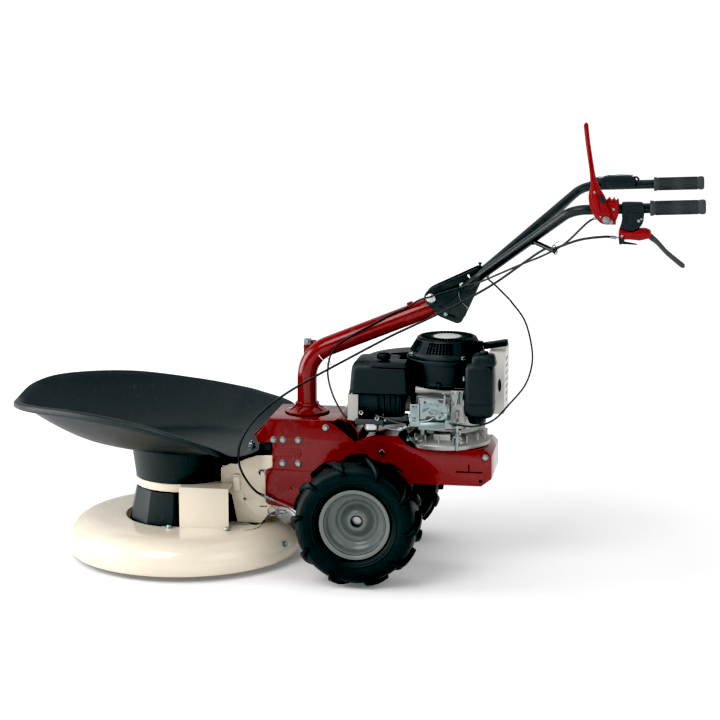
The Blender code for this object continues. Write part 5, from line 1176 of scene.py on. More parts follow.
def crankcase_castings():
    low = 0.3726
    top = 0.4826
    core = stacked(box_plan(0.1123, 0.2853, -0.08, 0.088, 0.03, 8),
                   [(low + 0.008, 0.0), (top - 0.024, 0.0), (top - 0.004, -0.002),
                    (top, -0.006)])
    flange = lathe([(0.05, low), (0.09, low), (0.0918, low + 0.0015), (0.0918, low + 0.008),
                    (0.09, low + 0.0095), (0.05, low + 0.0095), (0.05, low)], 96)
    ears = [bar((x, y, low), (x, y, low + 0.0095), 0.0085, 22, 0.001)
            for x, y in (on_circle(FLANGE_R, angle, CRANK_X) for angle in FLANGE_EARS)]
    band = bar((0.122, -0.0735, 0.469), (0.224, -0.0735, 0.466), 0.014, 36, 0.004)
    breather = block((0.215, -0.0985, 0.39), (0.253, -0.07, 0.476), 0.004, 4)
    lid = block((0.218, -0.1005, 0.44), (0.25, -0.094, 0.472), 0.0025, 3)
    lug = block((0.118, -0.09, 0.388), (0.21, -0.07, 0.408), 0.004, 3)
    side = block((0.13, -0.086, 0.408), (0.205, -0.07, 0.452), 0.005, 4)
    barrel = block((0.07, 0.034, low + 0.016), (0.125, 0.082, top - 0.016), 0.006, 3)
    fin = stacked(box_plan(-0.006, 0.12, 0.0335, 0.0835, 0.012, 5),
                  [(-0.0011, -0.0006), (-0.0005, 0.0), (0.0005, 0.0), (0.0011, -0.0006)])
    fins = row_of('cylinder_fins', moved(fin, at(0, 0, low + 0.018)), 13, (0, 0, 0.0066),
                  CAST_ALLOY)
    head = block((-0.0098, 0.036, low + 0.013), (0.01, 0.081, top - 0.0115), 0.004, 3)
    stack = [core, on_crank(flange), band, breather, lid, lug, side, barrel, fins, head]
    piece('crankcase_castings', together(*stack, *ears), CAST_ALLOY, 'crankcase', 30.0)
    plug = bar((-0.0095, 0.058, 0.428), (-0.034, 0.058, 0.428), 0.007, 24, 0.002, 0.004)
    boot = bar((-0.022, 0.058, 0.428), (-0.044, 0.058, 0.428), 0.0095, 28, 0.003, 0.008)
    lead = strand([(-0.04, 0.058, 0.428), (-0.052, 0.058, 0.438), (-0.04, 0.06, 0.462),
                   (-0.01, 0.062, 0.48), (0.012, 0.062, 0.485)], 28, 0.0032)
    piece('spark_plug', plug, WHITE_CAP)
    piece('plug_boot_and_lead', together(boot, lead), LEVER_PLASTIC)
    spots = [(x, -0.1003, z) for z in (0.469, 0.443) for x in (0.221, 0.247)]
    spots.append((0.234, -0.0983, 0.398))
    fasteners('crankcase_screws', [(spot, (0, -1, 0), 0.0075) for spot in spots], 'pan')


def blower_plan(shrink=0.0):
    """Plan of the fan housing: a round fan case with a lobe over the cylinder."""
    radius = 0.105 - shrink
    near = 0.0253 + shrink
    far = 0.112 - shrink
    left = -0.028 + shrink
    start = math.atan2(near, -math.sqrt(radius ** 2 - near ** 2))
    sweep = 2 * math.pi - (start - math.pi / 2)
    ring = []
    for i in range(73):
        ring.append(on_circle(radius, math.degrees(start + sweep * i / 72), CRANK_X))
    corner = eased([(CRANK_X - 0.03, far), (left, far), (left, near), ring[0]],
                   [0.06, 0.045, 0.01, 0.0], 10, False)
    return ring + corner[:-1]


def fan_housing():
    low = BLOWER_Z
    top = BLOWER_Z + 0.065
    shell = stacked(blower_plan(), [(low, -0.0015), (low + 0.001, -0.0003), (low + 0.006, 0.0),
                                    (low + 0.0075, -0.0012), (top - 0.016, -0.0012),
                                    (top - 0.009, -0.0022), (top - 0.004, -0.0045),
                                    (top - 0.001, -0.0085), (top, -0.013)])
    bm = bmesh.new()
    bm.from_mesh(shell)
    for x in (0.096, 0.076, 0.056, 0.036, 0.016):
        bmesh.ops.bisect_plane(bm, geom=bm.verts[:] + bm.edges[:] + bm.faces[:],
                               plane_co=(x, 0, 0), plane_no=(1, 0, 0))
    for vert in bm.verts:
        if vert.co.z > low + 0.02 and vert.co.x < 0.096:
            vert.co.z -= 0.9 * (0.096 - vert.co.x) ** 2 + 0.055 * (0.096 - vert.co.x)
    shell = from_bm(bm)
    hollow = stacked(blower_plan(0.004), [(low - 0.01, 0.0), (low + 0.04, 0.0)])
    mouth = on_crank(lathe([(0.0, low), (0.088, low), (0.088, top + 0.01), (0.0, top + 0.01)], 72))
    body = carved(shell, hollow, mouth)
    seat = lathe([(0.0935, top - 0.01), (0.1042, top - 0.01), (0.1042, top - 0.002),
                  (0.103, top), (0.0935, top), (0.0935, top - 0.01)], 96)
    tabs = [bar((x, y, low - 0.0004), (x, y, low + 0.012), 0.0075, 20, 0.001)
            for x, y in (on_circle(0.101, angle, CRANK_X) for angle in (-158, -95, -33, 35, 95))]
    piece('fan_housing', together(body, on_crank(seat), *tabs), HOOD_PLASTIC, 'blower_housing',
          32.0)


def starter_cover():
    """Cone with a grid of ribs round its side and radial slats on its top."""
    base = RECOIL_Z
    top = base + 0.05
    shell = [(0.0, top - 0.0016), (0.0365, top - 0.0016), (0.0385, top - 0.0008),
             (0.04, top - 0.0012), (0.0405, top - 0.005), (0.0665, top - 0.005),
             (0.067, top - 0.001), (0.069, top), (0.0725, top - 0.0004), (0.0755, top - 0.0024),
             (0.078, top - 0.007), (0.0786, top - 0.0084), (0.0766, top - 0.0098),
             (0.092, base + 0.0165), (0.0942, base + 0.0158), (0.0966, base + 0.012),
             (0.0976, base + 0.008), (0.0985, base + 0.006), (0.1, base + 0.0045), (0.1, base),
             (0.096, base), (0.0925, base + 0.01), (0.073, top - 0.011), (0.0, top - 0.008)]
    body = lathe(shell, 144)
    slat = block((0.04, -0.0013, top - 0.006), (0.0672, 0.0013, top - 0.0006), 0.0004, 1)
    slats = ring_of('starter_slats', slat, 44, HOOD_PLASTIC)
    upright = lathe([(0.076, top - 0.01), (0.0786, top - 0.0086), (0.0944, base + 0.0154),
                     (0.0915, base + 0.0166), (0.076, top - 0.01)], 2, 1.5)
    uprights = ring_of('starter_uprights', upright, 66, HOOD_PLASTIC)
    panel = lathe([(0.076, top - 0.0098), (0.0789, top - 0.0084), (0.0947, base + 0.0156),
                   (0.0915, base + 0.0168), (0.076, top - 0.0098)], 10, 17.0)
    panels = ring_of('starter_panels', panel, 6, HOOD_PLASTIC, -134.0)
    hoops = []
    for i in range(1, 5):
        share = i / 5
        r = 0.0776 + 0.0158 * share
        z = top - 0.009 + (base + 0.016 - (top - 0.009)) * share
        hoops.append(lathe([(r - 0.0016, z - 0.0007), (r + 0.0006, z - 0.0009),
                            (r + 0.0002, z + 0.0009), (r - 0.0016, z + 0.0007),
                            (r - 0.0016, z - 0.0007)], 120))
    guide = block((0.07, -0.012, top - 0.03), (0.092, 0.012, top - 0.012), 0.004, 4)
    roller = bar((0.088, -0.0085, top - 0.0185), (0.088, 0.0085, top - 0.0185), 0.006, 20, 0.001)
    whole = together(body, slats, uprights, panels, guide, roller, *hoops)
    piece('starter_cover', on_crank(whole), HOOD_PLASTIC, 'recoil_cover', 32.0)
    # Painted shade: dark rings under the top slats and behind the side grid, standing in for the
    # shade inside the cover
    floor = lathe([(0.04, top - 0.0047), (0.0668, top - 0.0047)], 72)
    depth = lathe([(0.0771, top - 0.01), (0.0924, base + 0.0166)], 96)
    piece('starter_recess', on_crank(together(floor, depth)), SHADOW)
    disc = lathe([(0.0, top - 0.0002), (0.033, top - 0.0002), (0.0345, top - 0.0007),
                  (0.035, top - 0.0018), (0.0, top - 0.0018)], 72)
    piece('starter_disc', on_crank(disc), WHITE_CAP)
    spots = [((*on_circle(0.0965, angle, CRANK_X), base + 0.0058), (*on_circle(0.35, angle), 1),
              0.01) for angle in (-150, -59, 30, 121)]
    fasteners('starter_cover_screws', spots)

    grip = block((-0.033, -0.014, -0.008), (0.025, 0.014, 0.008), 0.004, 5)
    groove = block((-0.024, -0.015, -0.0012), (0.018, 0.015, 0.0012), 0.0005, 1)
    nose = bar((-0.0385, 0, 0), (-0.028, 0, 0), 0.0085, 28, 0.001, 0.01)
    place = at(0.327, 0, 0.5805) @ turn(-10, 'Y')
    piece('pull_grip', moved(together(carved(grip, groove), nose), place), HOOD_PLASTIC,
          'starter_grip', body='starter')
    rope = bar((0.286, 0, 0.5745), (0.3, 0, 0.5766), 0.0024, 16, 0.0002)
    piece('starter_cord', rope, ROPE, 'starter_rope')


def tank():
    plan = eased([(-0.039, -0.127), (0.1115, -0.127), (0.1115, -0.068), (0.086, -0.05),
                  (0.086, 0.0245), (-0.039, 0.0245)], [0.02, 0.01, 0.012, 0.014, 0.008, 0.02], 8)
    upper = stacked(plan, [(0.4655, -0.006), (0.466, -0.0006), (0.4672, 0.0008), (0.4705, 0.0008),
                           (0.4722, -0.0008), (0.48, -0.0012), (0.52, -0.0042), (0.532, -0.006),
                           (0.5395, -0.0098), (0.5435, -0.0155), (0.545, -0.024)])
    under = eased([(-0.033, -0.118), (0.0995, -0.118), (0.0995, -0.068), (0.078, -0.05),
                   (0.078, 0.015), (-0.033, 0.015)], 0.014, 6)
    lower = stacked(under, [(0.402, -0.01), (0.403, -0.006), (0.406, -0.002),
                            (0.411, 0.0), (0.466, 0.0)])
    ribs = row_of('tank_ribs', block((0.034, -0.1205, 0.408), (0.0375, -0.112, 0.46), 0.0012, 2), 5,
                  (0.0145, 0, 0), HOOD_PLASTIC)
    neck = lathe([(0.0, 0.5385), (0.016, 0.5385), (0.016, 0.544), (0.014, 0.5456),
                  (0.0135, 0.5508), (0.0, 0.5508)], 48)
    shoulder = block((0.015, -0.1235, 0.53), (0.108, -0.06, 0.5462), 0.006, 4)
    piece('petrol_tank', together(upper, lower, ribs, shoulder, moved(neck, at(*CAP_SPOT, 0))),
          HOOD_PLASTIC, 'fuel_tank', 32.0)
    shield = together(block((-0.042, -0.1225, 0.396), (-0.015, -0.1195, 0.463), 0.0012, 3),
                      block((-0.042, -0.1225, 0.396), (-0.0396, -0.07, 0.463), 0.001, 3))
    piece('tank_shield', shield, SHIELD_GREY)

    z = 0.5513
    cap = lathe([(0.0, z + 0.013), (0.012, z + 0.013), (0.0155, z + 0.012),
                 (0.0168, z + 0.01), (0.0168, z + 0.0015), (0.016, z), (0.0, z)], 60)
    rib = block((0.016, -0.0007, z + 0.0012), (0.0175, 0.0007, z + 0.0105), 0.0003, 1)
    ridge = block((-0.012, -0.0016, z + 0.012), (0.012, 0.0016, z + 0.0148), 0.0008, 2)
    whole = together(cap, ring_of('cap_ribs', rib, 30, HOOD_PLASTIC), ridge)
    piece('tank_cap', moved(whole, at(*CAP_SPOT, 0)), HOOD_PLASTIC, 'fuel_cap', 32.0, body='cap')


def carburettor():
    top = 0.4017
    body = block((-0.022, -0.13, top - 0.016), (0.05, -0.088, top - 0.0002), 0.0035, 3)
    throat = bar((0.048, -0.108, 0.396), (0.1118, -0.104, 0.402), 0.013, 32, 0.002)
    flange = block((0.047, -0.124, 0.3815), (0.052, -0.09, 0.416), 0.003, 3)
    shaft = bar((-0.006, -0.129, 0.418), (-0.006, -0.101, 0.418), 0.005, 20, 0.0005)
    column = bar((0.0345, -0.129, 0.4045), (0.0345, -0.101, 0.4045), 0.0065, 20, 0.0005)
    piece('carburettor_body', together(body, throat, flange, shaft, column), GEAR_CAST,
          'carburettor')
    z = top - 0.012
    bowl = lathe([(0.0, z), (0.0178, z), (0.0204, z - 0.001), (0.0204, z - 0.0036),
                  (0.0193, z - 0.0046), (0.019, z - 0.015), (0.0176, z - 0.0168),
                  (0.0, z - 0.0168)], 64)
    pan = lathe([(0.0, z - 0.0166), (0.0178, z - 0.0166), (0.0174, z - 0.02),
                 (0.014, z - 0.0232), (0.008, z - 0.0246), (0.0, z - 0.0246)], 56)
    spot = at(0.017, -0.112, 0.0)
    piece('float_bowl', moved(bowl, spot), CHROME, sharp=28.0)
    piece('float_bowl_foot', moved(pan, spot), GEAR_CAST)
    fasteners('float_bowl_screw', [((0.017, -0.112, z - 0.024), (0, 0, -1), 0.008)])
    rings = []
    for x, height in ((-0.006, 0.418), (0.0345, 0.4045)):
        ring = lathe([(0.0026, 0.0), (0.0056, 0.0), (0.0062, 0.001), (0.0058, 0.0034),
                      (0.005, 0.0042), (0.003, 0.0034), (0.0026, 0.002), (0.0026, 0.0)], 36)
        rings.append(moved(ring, facing((0, -1, 0), (x, -0.1288, height))))
    piece('carburettor_rings', together(*rings), CHROME)
    arms = [strand([(0.03, -0.128, 0.413), (0.05, -0.127, 0.406), (0.078, -0.126, 0.396),
                    (0.108, -0.125, 0.39)], 16, 0.0013),
            strand([(0.052, -0.122, 0.38), (0.072, -0.124, 0.376), (0.096, -0.124, 0.379),
                    (0.118, -0.122, 0.386)], 16, 0.0013),
            bar((0.054, -0.1265, 0.399), (0.054, -0.115, 0.399), 0.003, 16),
            bar((0.086, -0.127, 0.3745), (0.099, -0.125, 0.379), 0.0052, 24, 0.0012),
            bar((0.0985, -0.125, 0.379), (0.11, -0.1235, 0.385), 0.0036, 20, 0.001),
            block((0.089, -0.129, 0.38), (0.101, -0.12, 0.3845), 0.001, 2)]
    piece('throttle_rods', together(*arms), ZINC)


def governor():
    """Plated bracket with its bent tabs, springs, swivels and rods in front of the crankcase."""
    near, far = -0.126, -0.1242
    main = plate([eased([(0.143, 0.404), (0.143, 0.458), (0.148, 0.4605), (0.17, 0.4605),
                         (0.186, 0.4585), (0.19, 0.45), (0.205, 0.448), (0.212, 0.438),
                         (0.212, 0.412), (0.198, 0.404), (0.184, 0.404), (0.18, 0.413),
                         (0.16, 0.413), (0.156, 0.404)], 0.0025), circle(0.1552, 0.4484, 0.003),
                  circle(0.1937, 0.4108, 0.0028), circle(0.174, 0.43, 0.002)], near, far, 0.0005)
    cheek = plate([eased([(0.1175, 0.386), (0.1175, 0.406), (0.1135, 0.41), (0.1135, 0.416),
                          (0.1175, 0.419), (0.1175, 0.444), (0.1415, 0.444), (0.1415, 0.386)],
                         0.002), circle(0.1262, 0.4372, 0.0021), circle(0.134, 0.4374, 0.0021)],
                  near - 0.0022, far - 0.002, 0.0005)
    tab = plate([eased([(0.207, 0.388), (0.207, 0.404), (0.223, 0.406), (0.223, 0.388)], 0.0025),
                 circle(0.2165, 0.3975, 0.0024)], near - 0.005, far - 0.005, 0.0005)
    shelf = block((0.14, -0.126, 0.3965), (0.207, -0.098, 0.3982), 0.0006, 2)
    apron = moved(block((-0.034, -0.001, -0.009), (0.034, 0.001, 0.009), 0.0008, 2),
                  at(0.174, -0.1275, 0.388) @ turn(-14, 'X'))
    fold = block((0.1395, -0.1265, 0.388), (0.1412, -0.0985, 0.442), 0.0006, 2)
    posts = [bar((x, -0.1245, z), (x, -0.088, z), 0.005, 24, 0.0006)
             for x, z in ((0.128, 0.405), (0.198, 0.42))]
    pins = [bar((x, near - out, z), (x, near + 0.001, z), r, 20, 0.0004)
            for x, z, r, out in ((0.168, 0.444, 0.0026, 0.004), (0.18, 0.426, 0.0034, 0.005),
                                 (0.166, 0.423, 0.0022, 0.006), (0.201, 0.432, 0.003, 0.004),
                                 (0.187, 0.44, 0.0018, 0.007), (0.127, 0.396, 0.0028, 0.005),
                                 (0.2165, 0.3975, 0.002, 0.01))]
    lever = plate([eased([(0.198, 0.429), (0.203, 0.429), (0.2075, 0.456), (0.2075, 0.47),
                          (0.2035, 0.47), (0.2035, 0.457)], 0.0015)],
                  near - 0.0048, near - 0.0036, 0.0004)
    arc = [(0.205 + 0.0105 * math.cos(math.radians(a)), near - 0.0045,
            0.433 + 0.0145 * math.sin(math.radians(a))) for a in range(-80, 85, 10)]
    wires = [wire(arc, 0.0014, 10),
             wire([(0.2055, near - 0.004, 0.469), (0.2035, near - 0.004, 0.474),
                   (0.2005, near - 0.004, 0.473)], 0.0012, 10),
             strand([(0.166, near - 0.005, 0.423), (0.174, near - 0.006, 0.418),
                     (0.182, near - 0.006, 0.42), (0.187, near - 0.006, 0.44)], 14, 0.001, 10),
             strand([(0.127, near - 0.005, 0.396), (0.145, near - 0.006, 0.401),
                     (0.17, near - 0.006, 0.406), (0.201, near - 0.004, 0.432)], 18, 0.001, 10),
             strand([(0.2165, near - 0.008, 0.3975), (0.226, near - 0.004, 0.418),
                     (0.233, near + 0.004, 0.445), (0.2376, -0.104, 0.474)], 16, 0.001, 10)]
    whole = together(main, cheek, tab, shelf, apron, fold, lever, *posts, *pins, *wires)
    piece('governor_plates', whole, ZINC, 'governor_bracket')
    springs = [moved(coil(0.003, 11, 0.026, 0.0005, ZINC),
                     at(0.2376, -0.106, 0.445)),
               moved(coil(0.0026, 9, 0.019, 0.0004, ZINC),
                     facing((0.92, 0, 0.39), (0.148, near - 0.0055, 0.426)))]
    piece('governor_springs', together(*springs), ZINC)
    rods = [bar((0.2376, -0.106, 0.442), (0.2376, -0.106, 0.446), 0.0035, 20),
            bar((0.2376, -0.106, 0.47), (0.2376, -0.106, 0.4745), 0.0035, 20),
            bar((0.2345, -0.106, 0.406), (0.2345, -0.106, 0.424), 0.004, 22),
            bar((0.235, -0.106, 0.37), (0.235, -0.106, 0.398), 0.0036, 22),
            bar((0.235, -0.1075, 0.323), (0.235, -0.106, 0.36), 0.0042, 22),
            block((0.225, -0.11, 0.356), (0.245, -0.095, 0.36), 0.001, 2)]
    piece('governor_rods', together(*rods), ZINC)
    fasteners('governor_nuts', [((0.235, -0.106, 0.36), (0, 0, 1), 0.0095),
                                ((0.2165, near - 0.005, 0.3975), (0, -1, 0), 0.0075),
                                ((0.128, near - 0.0022, 0.4055), (0, -1, 0), 0.0085),
                                ((0.198, near, 0.42), (0, -1, 0), 0.0085)], 'nut')


def air_filter():
    plan = box_plan(0.2545, 0.3295, -0.15, -0.0883, [0.02, 0.024, 0.012, 0.012], 8)
    case = stacked(plan, [(0.414, -0.016), (0.4148, -0.011), (0.418, -0.005),
                          (0.424, -0.0015), (0.432, 0.0), (0.52, 0.0), (0.538, -0.0012),
                          (0.548, -0.004), (0.5535, -0.008), (0.556, -0.014)])
    seam = stacked(plan, [(0.449, -0.0004), (0.4496, 0.0006), (0.4514, 0.0006), (0.452, -0.0004)])
    cap = stacked(box_plan(0.2705, 0.3325, -0.146, -0.1, [0.016, 0.018, 0.01, 0.01], 7),
                  [(0.548, 0.0006), (0.5555, 0.0008), (0.5568, -0.0004), (0.565, -0.0014),
                   (0.572, -0.0036), (0.5755, -0.007), (0.577, -0.0115)])
    knob = lathe([(0.0, 0.574), (0.0115, 0.574), (0.012, 0.58), (0.0105, 0.5825), (0.0, 0.5832)],
                 36)
    foot = lathe([(0.0, 0.423), (0.026, 0.423), (0.0225, 0.406), (0.019, 0.399),
                  (0.0165, 0.398), (0.0, 0.398)], 48)
    whole = together(case, seam, cap, moved(knob, at(0.302, -0.122, 0)),
                     moved(foot, at(0.286, -0.118, 0)))
    piece('air_filter_case', whole, HOOD_PLASTIC, 'air_filter_box', 32.0)
    clips = [block((0.25, -0.128, 0.444), (0.255, -0.116, 0.458), 0.001, 2),
             block((0.25, -0.127, 0.506), (0.255, -0.117, 0.518), 0.001, 2)]
    piece('filter_clips', together(*clips), ZINC)


def silencer():
    body = stacked(box_plan(0.307, 0.344, -0.028, 0.098, 0.012, 6),
                   [(0.405, -0.006), (0.408, 0.0), (0.558, 0.0), (0.562, -0.005)])
    flange = block((0.2856, -0.02, 0.415), (0.31, 0.06, 0.455), 0.004, 3)
    piece('silencer_box', together(body, flange), GEAR_CAST, 'muffler')
    side = plate([box_plan(0.306, 0.3465, 0.404, 0.564, 0.006, 4),
                  circle(0.334, 0.479, 0.0042, 32, 0.0165)], -0.0318, -0.03, 0.0006)
    back = block((0.3447, -0.0316, 0.404), (0.3465, 0.099, 0.564), 0.0007, 2)
    crown = block((0.306, -0.0316, 0.5622), (0.346, 0.099, 0.564), 0.0007, 2)
    slot = block((0.0, -0.03, -0.0028), (0.01, 0.03, 0.0028), 0.002, 3)
    slots = [moved(slot.copy(), at(0.342, 0.035, 0.43 + 0.018 * i)) for i in range(7)]
    back = carved(back, *slots)
    piece('silencer_guard', together(side, back, crown), GUARD)


for part in (sump, crankcase_castings, fan_housing, starter_cover, tank, carburettor, governor,
             air_filter, silencer):
    part()


# Steering column

def axis_height(x):
    """Height of the sloped column axis at x."""
    reach = COLUMN_BEND * math.tan((math.pi / 2 - COLUMN_SLOPE) / 2)
    return BEND_FOOT_Z + reach + (x - COLUMN_X) * math.tan(COLUMN_SLOPE)


def column():
    foot = 0.3871
    corner = (COLUMN_X, 0.0, axis_height(COLUMN_X))
    end = (0.16, 0.0, axis_height(0.16))
    path = rounded_path([(COLUMN_X, 0.0, foot + 0.01), corner, end], [COLUMN_BEND], 26)
    tube = wire(path, COLUMN_R, 48)
    base = lathe([(0.0, foot + 0.028), (0.025, foot + 0.028), (0.0295, foot + 0.0276),
                  (0.031, foot + 0.0262), (0.031, foot + 0.0205), (0.03, foot + 0.0195),
                  (0.03, foot + 0.018), (0.0315, foot + 0.0165), (0.038, foot + 0.012),
                  (0.047, foot + 0.0068), (0.054, foot + 0.006), (0.0558, foot + 0.005),
                  (0.056, foot + 0.0015), (0.0552, foot), (0.0, foot)], 96)
    web = plate([[(0.0295, foot + 0.0055), (0.05, foot + 0.0055), (0.03, foot + 0.0205)]],
                -0.0022, 0.0022, 0.0006)
    webs = ring_of('flange_webs', web, 8, RED, 22.5)
    gasket = lathe([(0.04, foot - 0.0002), (0.0578, foot - 0.0002), (0.0578, foot + 0.0022),
                    (0.0561, foot + 0.0024), (0.0561, foot + 0.0001), (0.04, foot - 0.0002)], 72)
    piece('column_foot_ring', moved(gasket, at(COLUMN_X, 0, 0)), SHADOW, body='column')
    boss = bar((PIVOT[0], -0.0265, PIVOT[1]), (PIVOT[0], 0.0265, PIVOT[1]), 0.018, 48, 0.0012)
    slope = Vector((math.cos(COLUMN_SLOPE), 0.0, math.sin(COLUMN_SLOPE)))
    up = Vector((-slope.z, 0.0, slope.x))
    stop_at = Vector((0.11, 0.0, axis_height(0.11))) + up * (COLUMN_R + 0.001)
    stop = moved(block((-0.0075, -0.0085, -0.006), (0.0075, 0.0085, 0.005), 0.0015, 3),
                 at(*stop_at) @ turn(-math.degrees(COLUMN_SLOPE), 'Y'))
    lug = plate([eased([(-0.1885, -0.01), (-0.1885, 0.0635), (-0.1635, 0.0635), (-0.1635, -0.01)],
                       [0.002, 0.011, 0.011, 0.002], 6), circle(*LOCK_SPOT, 0.0084, 32)], 0.462,
                0.472, 0.001, 2, False)
    piece('steering_column', together(tube, moved(together(base, webs), at(COLUMN_X, 0, 0)), boss,
                                      stop, lug), RED, 'column_tube', 34.0, body='column')
    head = lathe([(0.0, 0.0), (0.0132, 0.0), (0.0132, 0.0022), (0.012, 0.004),
                  (0.006, 0.0062), (0.0, 0.0066)], 48)
    slot = block((-0.014, -0.0011, 0.0048), (0.014, 0.0011, 0.01), 0.0002, 1)
    nut = HEADS['nut']()
    x, z = PIVOT
    heads = [moved(carved(head, slot), facing((0, -1, 0), (x, -BRACKET_Y - 0.0003, z))),
             moved(nut, facing((0, 1, 0), (x, BRACKET_Y + 0.0003, z)) @ Matrix.Scale(0.017, 4))]
    piece('pivot_bolt', together(*heads), CHROME, body='column')
    tie_at = Vector((-0.124, 0.0, 0.533))
    lean = facing((0.75, 0.0, 0.66), tie_at)
    ring = loop_on(lean, 0.0268, 48)
    tail = [lean @ Vector(spot) for spot in ((0.0, -0.0268, 0.0), (0.012, -0.029, 0.001),
                                             (0.024, -0.033, 0.002))]
    piece('column_tie', together(wire(ring, 0.0011, 10, True), wire(tail, 0.0009, 8)), WHITE_CAP,
          body='column')

    pin = bar((*LOCK_SPOT, 0.3875), (*LOCK_SPOT, 0.548), 0.008, 36, 0.001)
    head = block((-0.185, 0.043, 0.53), (-0.167, 0.061, 0.556), 0.0018, 3)
    knob = lathe([(0.0, 0.0), (0.0055, 0.0), (0.006, 0.006), (0.0072, 0.008),
                  (0.0072, 0.014), (0.006, 0.0165), (0.0, 0.017)], 36)
    knob = moved(knob, facing((1, 0, 0.12), (-0.168, 0.052, 0.56)))
    step = block((-0.169, 0.045, 0.545), (-0.16, 0.059, 0.568), 0.002, 3)
    piece('lock_pin', together(pin, head, knob, step), RED, 'lock_rod', body='lock')
    eye = plate([eased([(-0.1848, 0.5555), (-0.1662, 0.5555), (-0.1662, 0.5715), (-0.1848, 0.5715)],
                       0.004, 5), circle(-0.1755, 0.565, 0.0042, 24)], 0.0445, 0.0595, 0.0012, 3)
    bolt = moved(HEADS['hex'](), facing((0, -1, 0), (-0.1755, 0.0447, 0.565))
                 @ Matrix.Scale(0.01, 4))
    piece('lock_eye', together(eye, bolt), ZINC, body='lock')


# Handlebar

def bar_corners(side):
    """Corners of a handle tube's axis, from the bracket to the grip's end."""
    y = BRACKET_Y + TUBE_R + 0.0002
    x, z = GRIP_BEND
    return [(0.243, side * y, 0.7275), (0.283, side * y, 0.76), (x, side * GRIP_Y, z),
            (x + GRIP_RUN, side * GRIP_Y, z + GRIP_RISE)]


def bar_height(x):
    """Height of a handle tube's axis along its grip."""
    return GRIP_BEND[1] + (x - GRIP_BEND[0]) * GRIP_RISE / GRIP_RUN


def handle_bracket():
    ring = [(0.142, 0.69), (0.139, 0.702), (0.144, 0.714), (0.156, 0.7225), (0.27, 0.777),
            (0.279, 0.777), (0.284, 0.768), (0.282, 0.742), (0.237, 0.64), (0.226, 0.634),
            (0.178, 0.652)]
    radii = [0.008, 0.01, 0.01, 0.008, 0.006, 0.006, 0.006, 0.006, 0.008, 0.008, 0.006]
    slot = eased([(0.197, 0.6575), (0.199, 0.6615), (0.221, 0.6545), (0.219, 0.6505)], 0.0016, 4)
    sheets = []
    for side in (-1, 1):
        low, high = sorted((side * (BRACKET_Y - 0.004), side * BRACKET_Y))
        sheets.append(plate([eased(ring, radii, 6), circle(*PIVOT, 0.0063, 24), slot], low, high,
                            0.0008, 3))
    spacer = block((0.236, -0.028, 0.705), (0.262, 0.028, 0.735), 0.003, 3)
    web = block((0.246, -0.028, 0.73), (0.275, 0.028, 0.752), 0.003, 3)
    piece('bracket_cheeks', together(spacer, web, *sheets), BLACK_PAINT, 'handlebar_bracket',
          body='handlebar')
    for side, label in ((-1, 'near'), (1, 'far')):
        dome = lathe([(0.0, 0.0), (0.0078, 0.0), (0.0076, 0.0018), (0.0058, 0.004),
                      (0.003, 0.005), (0.0, 0.0052)], 36)
        place = facing((0, side, 0), (0.237, side * (BRACKET_Y + 0.0001), 0.7338))
        piece('bracket_dome_' + label, moved(dome, place), STEEL, body='handlebar')
    fasteners('bracket_bolts', [((0.195, -BRACKET_Y, 0.658), (0, -1, 0), 0.0075),
                                ((0.195, BRACKET_Y, 0.658), (0, 1, 0), 0.0075),
                                ((0.262, BRACKET_Y, 0.72), (0, 1, 0), 0.011)], body='handlebar')
    stub = together(bar((0.2757, 0.024, 0.774), (0.2757, 0.024, 0.783), 0.003, 20),
                    bar((0.2757, 0.024, 0.781), (0.2757, 0.024, 0.785), 0.0046, 20))
    piece('bracket_stub', stub, BLACK_PAINT, body='handlebar')
    y = -BRACKET_Y - 0.0012
    spring = strand([(0.2284, y, 0.7157), (0.229, y - 0.002, 0.706), (0.2339, y - 0.003, 0.696),
                     (0.241, y - 0.002, 0.686), (0.2476, y, 0.6796)], 24, 0.001, 10)
    hook = strand([(0.2476, y, 0.6796), (0.25, y - 0.001, 0.677), (0.249, y - 0.002, 0.674)],
                  8, 0.0012, 10)
    piece('bracket_ring_clip', together(spring, hook), ZINC, body='handlebar')
    strap = strand([(0.2525, y, 0.76), (0.256, y - 0.004, 0.7545), (0.261, y - 0.005, 0.748),
                    (0.266, y - 0.002, 0.744)], 16, 0.0028, 14)
    piece('bracket_strap', strap, CHROME, body='handlebar')


def cable_hanger():
    """Peg that is welded under the left tube and carries the clutch cable, which is tied to it."""
    lower, upper = (Vector(c) for c in bar_corners(-1)[1:3])
    seat = lower.lerp(upper, 0.56)
    tip = Vector((0.481, -0.235, 0.852))
    down = (tip - seat).normalized()
    start = seat + down * 0.008
    weld = loop_on(facing(down, start + down * 0.005), 0.0072, 24)
    hug = facing((0.83, -0.47, 0.3), tip + Vector((-0.001, -0.001, 0.004)))
    loop = loop_on(hug, 0.0095, 32, 0.0115)
    tail = [loop[8] + Vector(step) for step in ((0.0, 0.0, 0.0), (0.006, 0.0, 0.006),
                                                (0.014, 0.0, 0.01))]
    tie = together(wire(loop, 0.0011, 10, True), wire(tail, 0.0008, 8))
    piece('cable_tie', tie, LEVER_PLASTIC, body='handlebar')
    return [bar(start, tip, 0.0058, 24, 0.001), wire(weld, 0.0014, 10, True)]


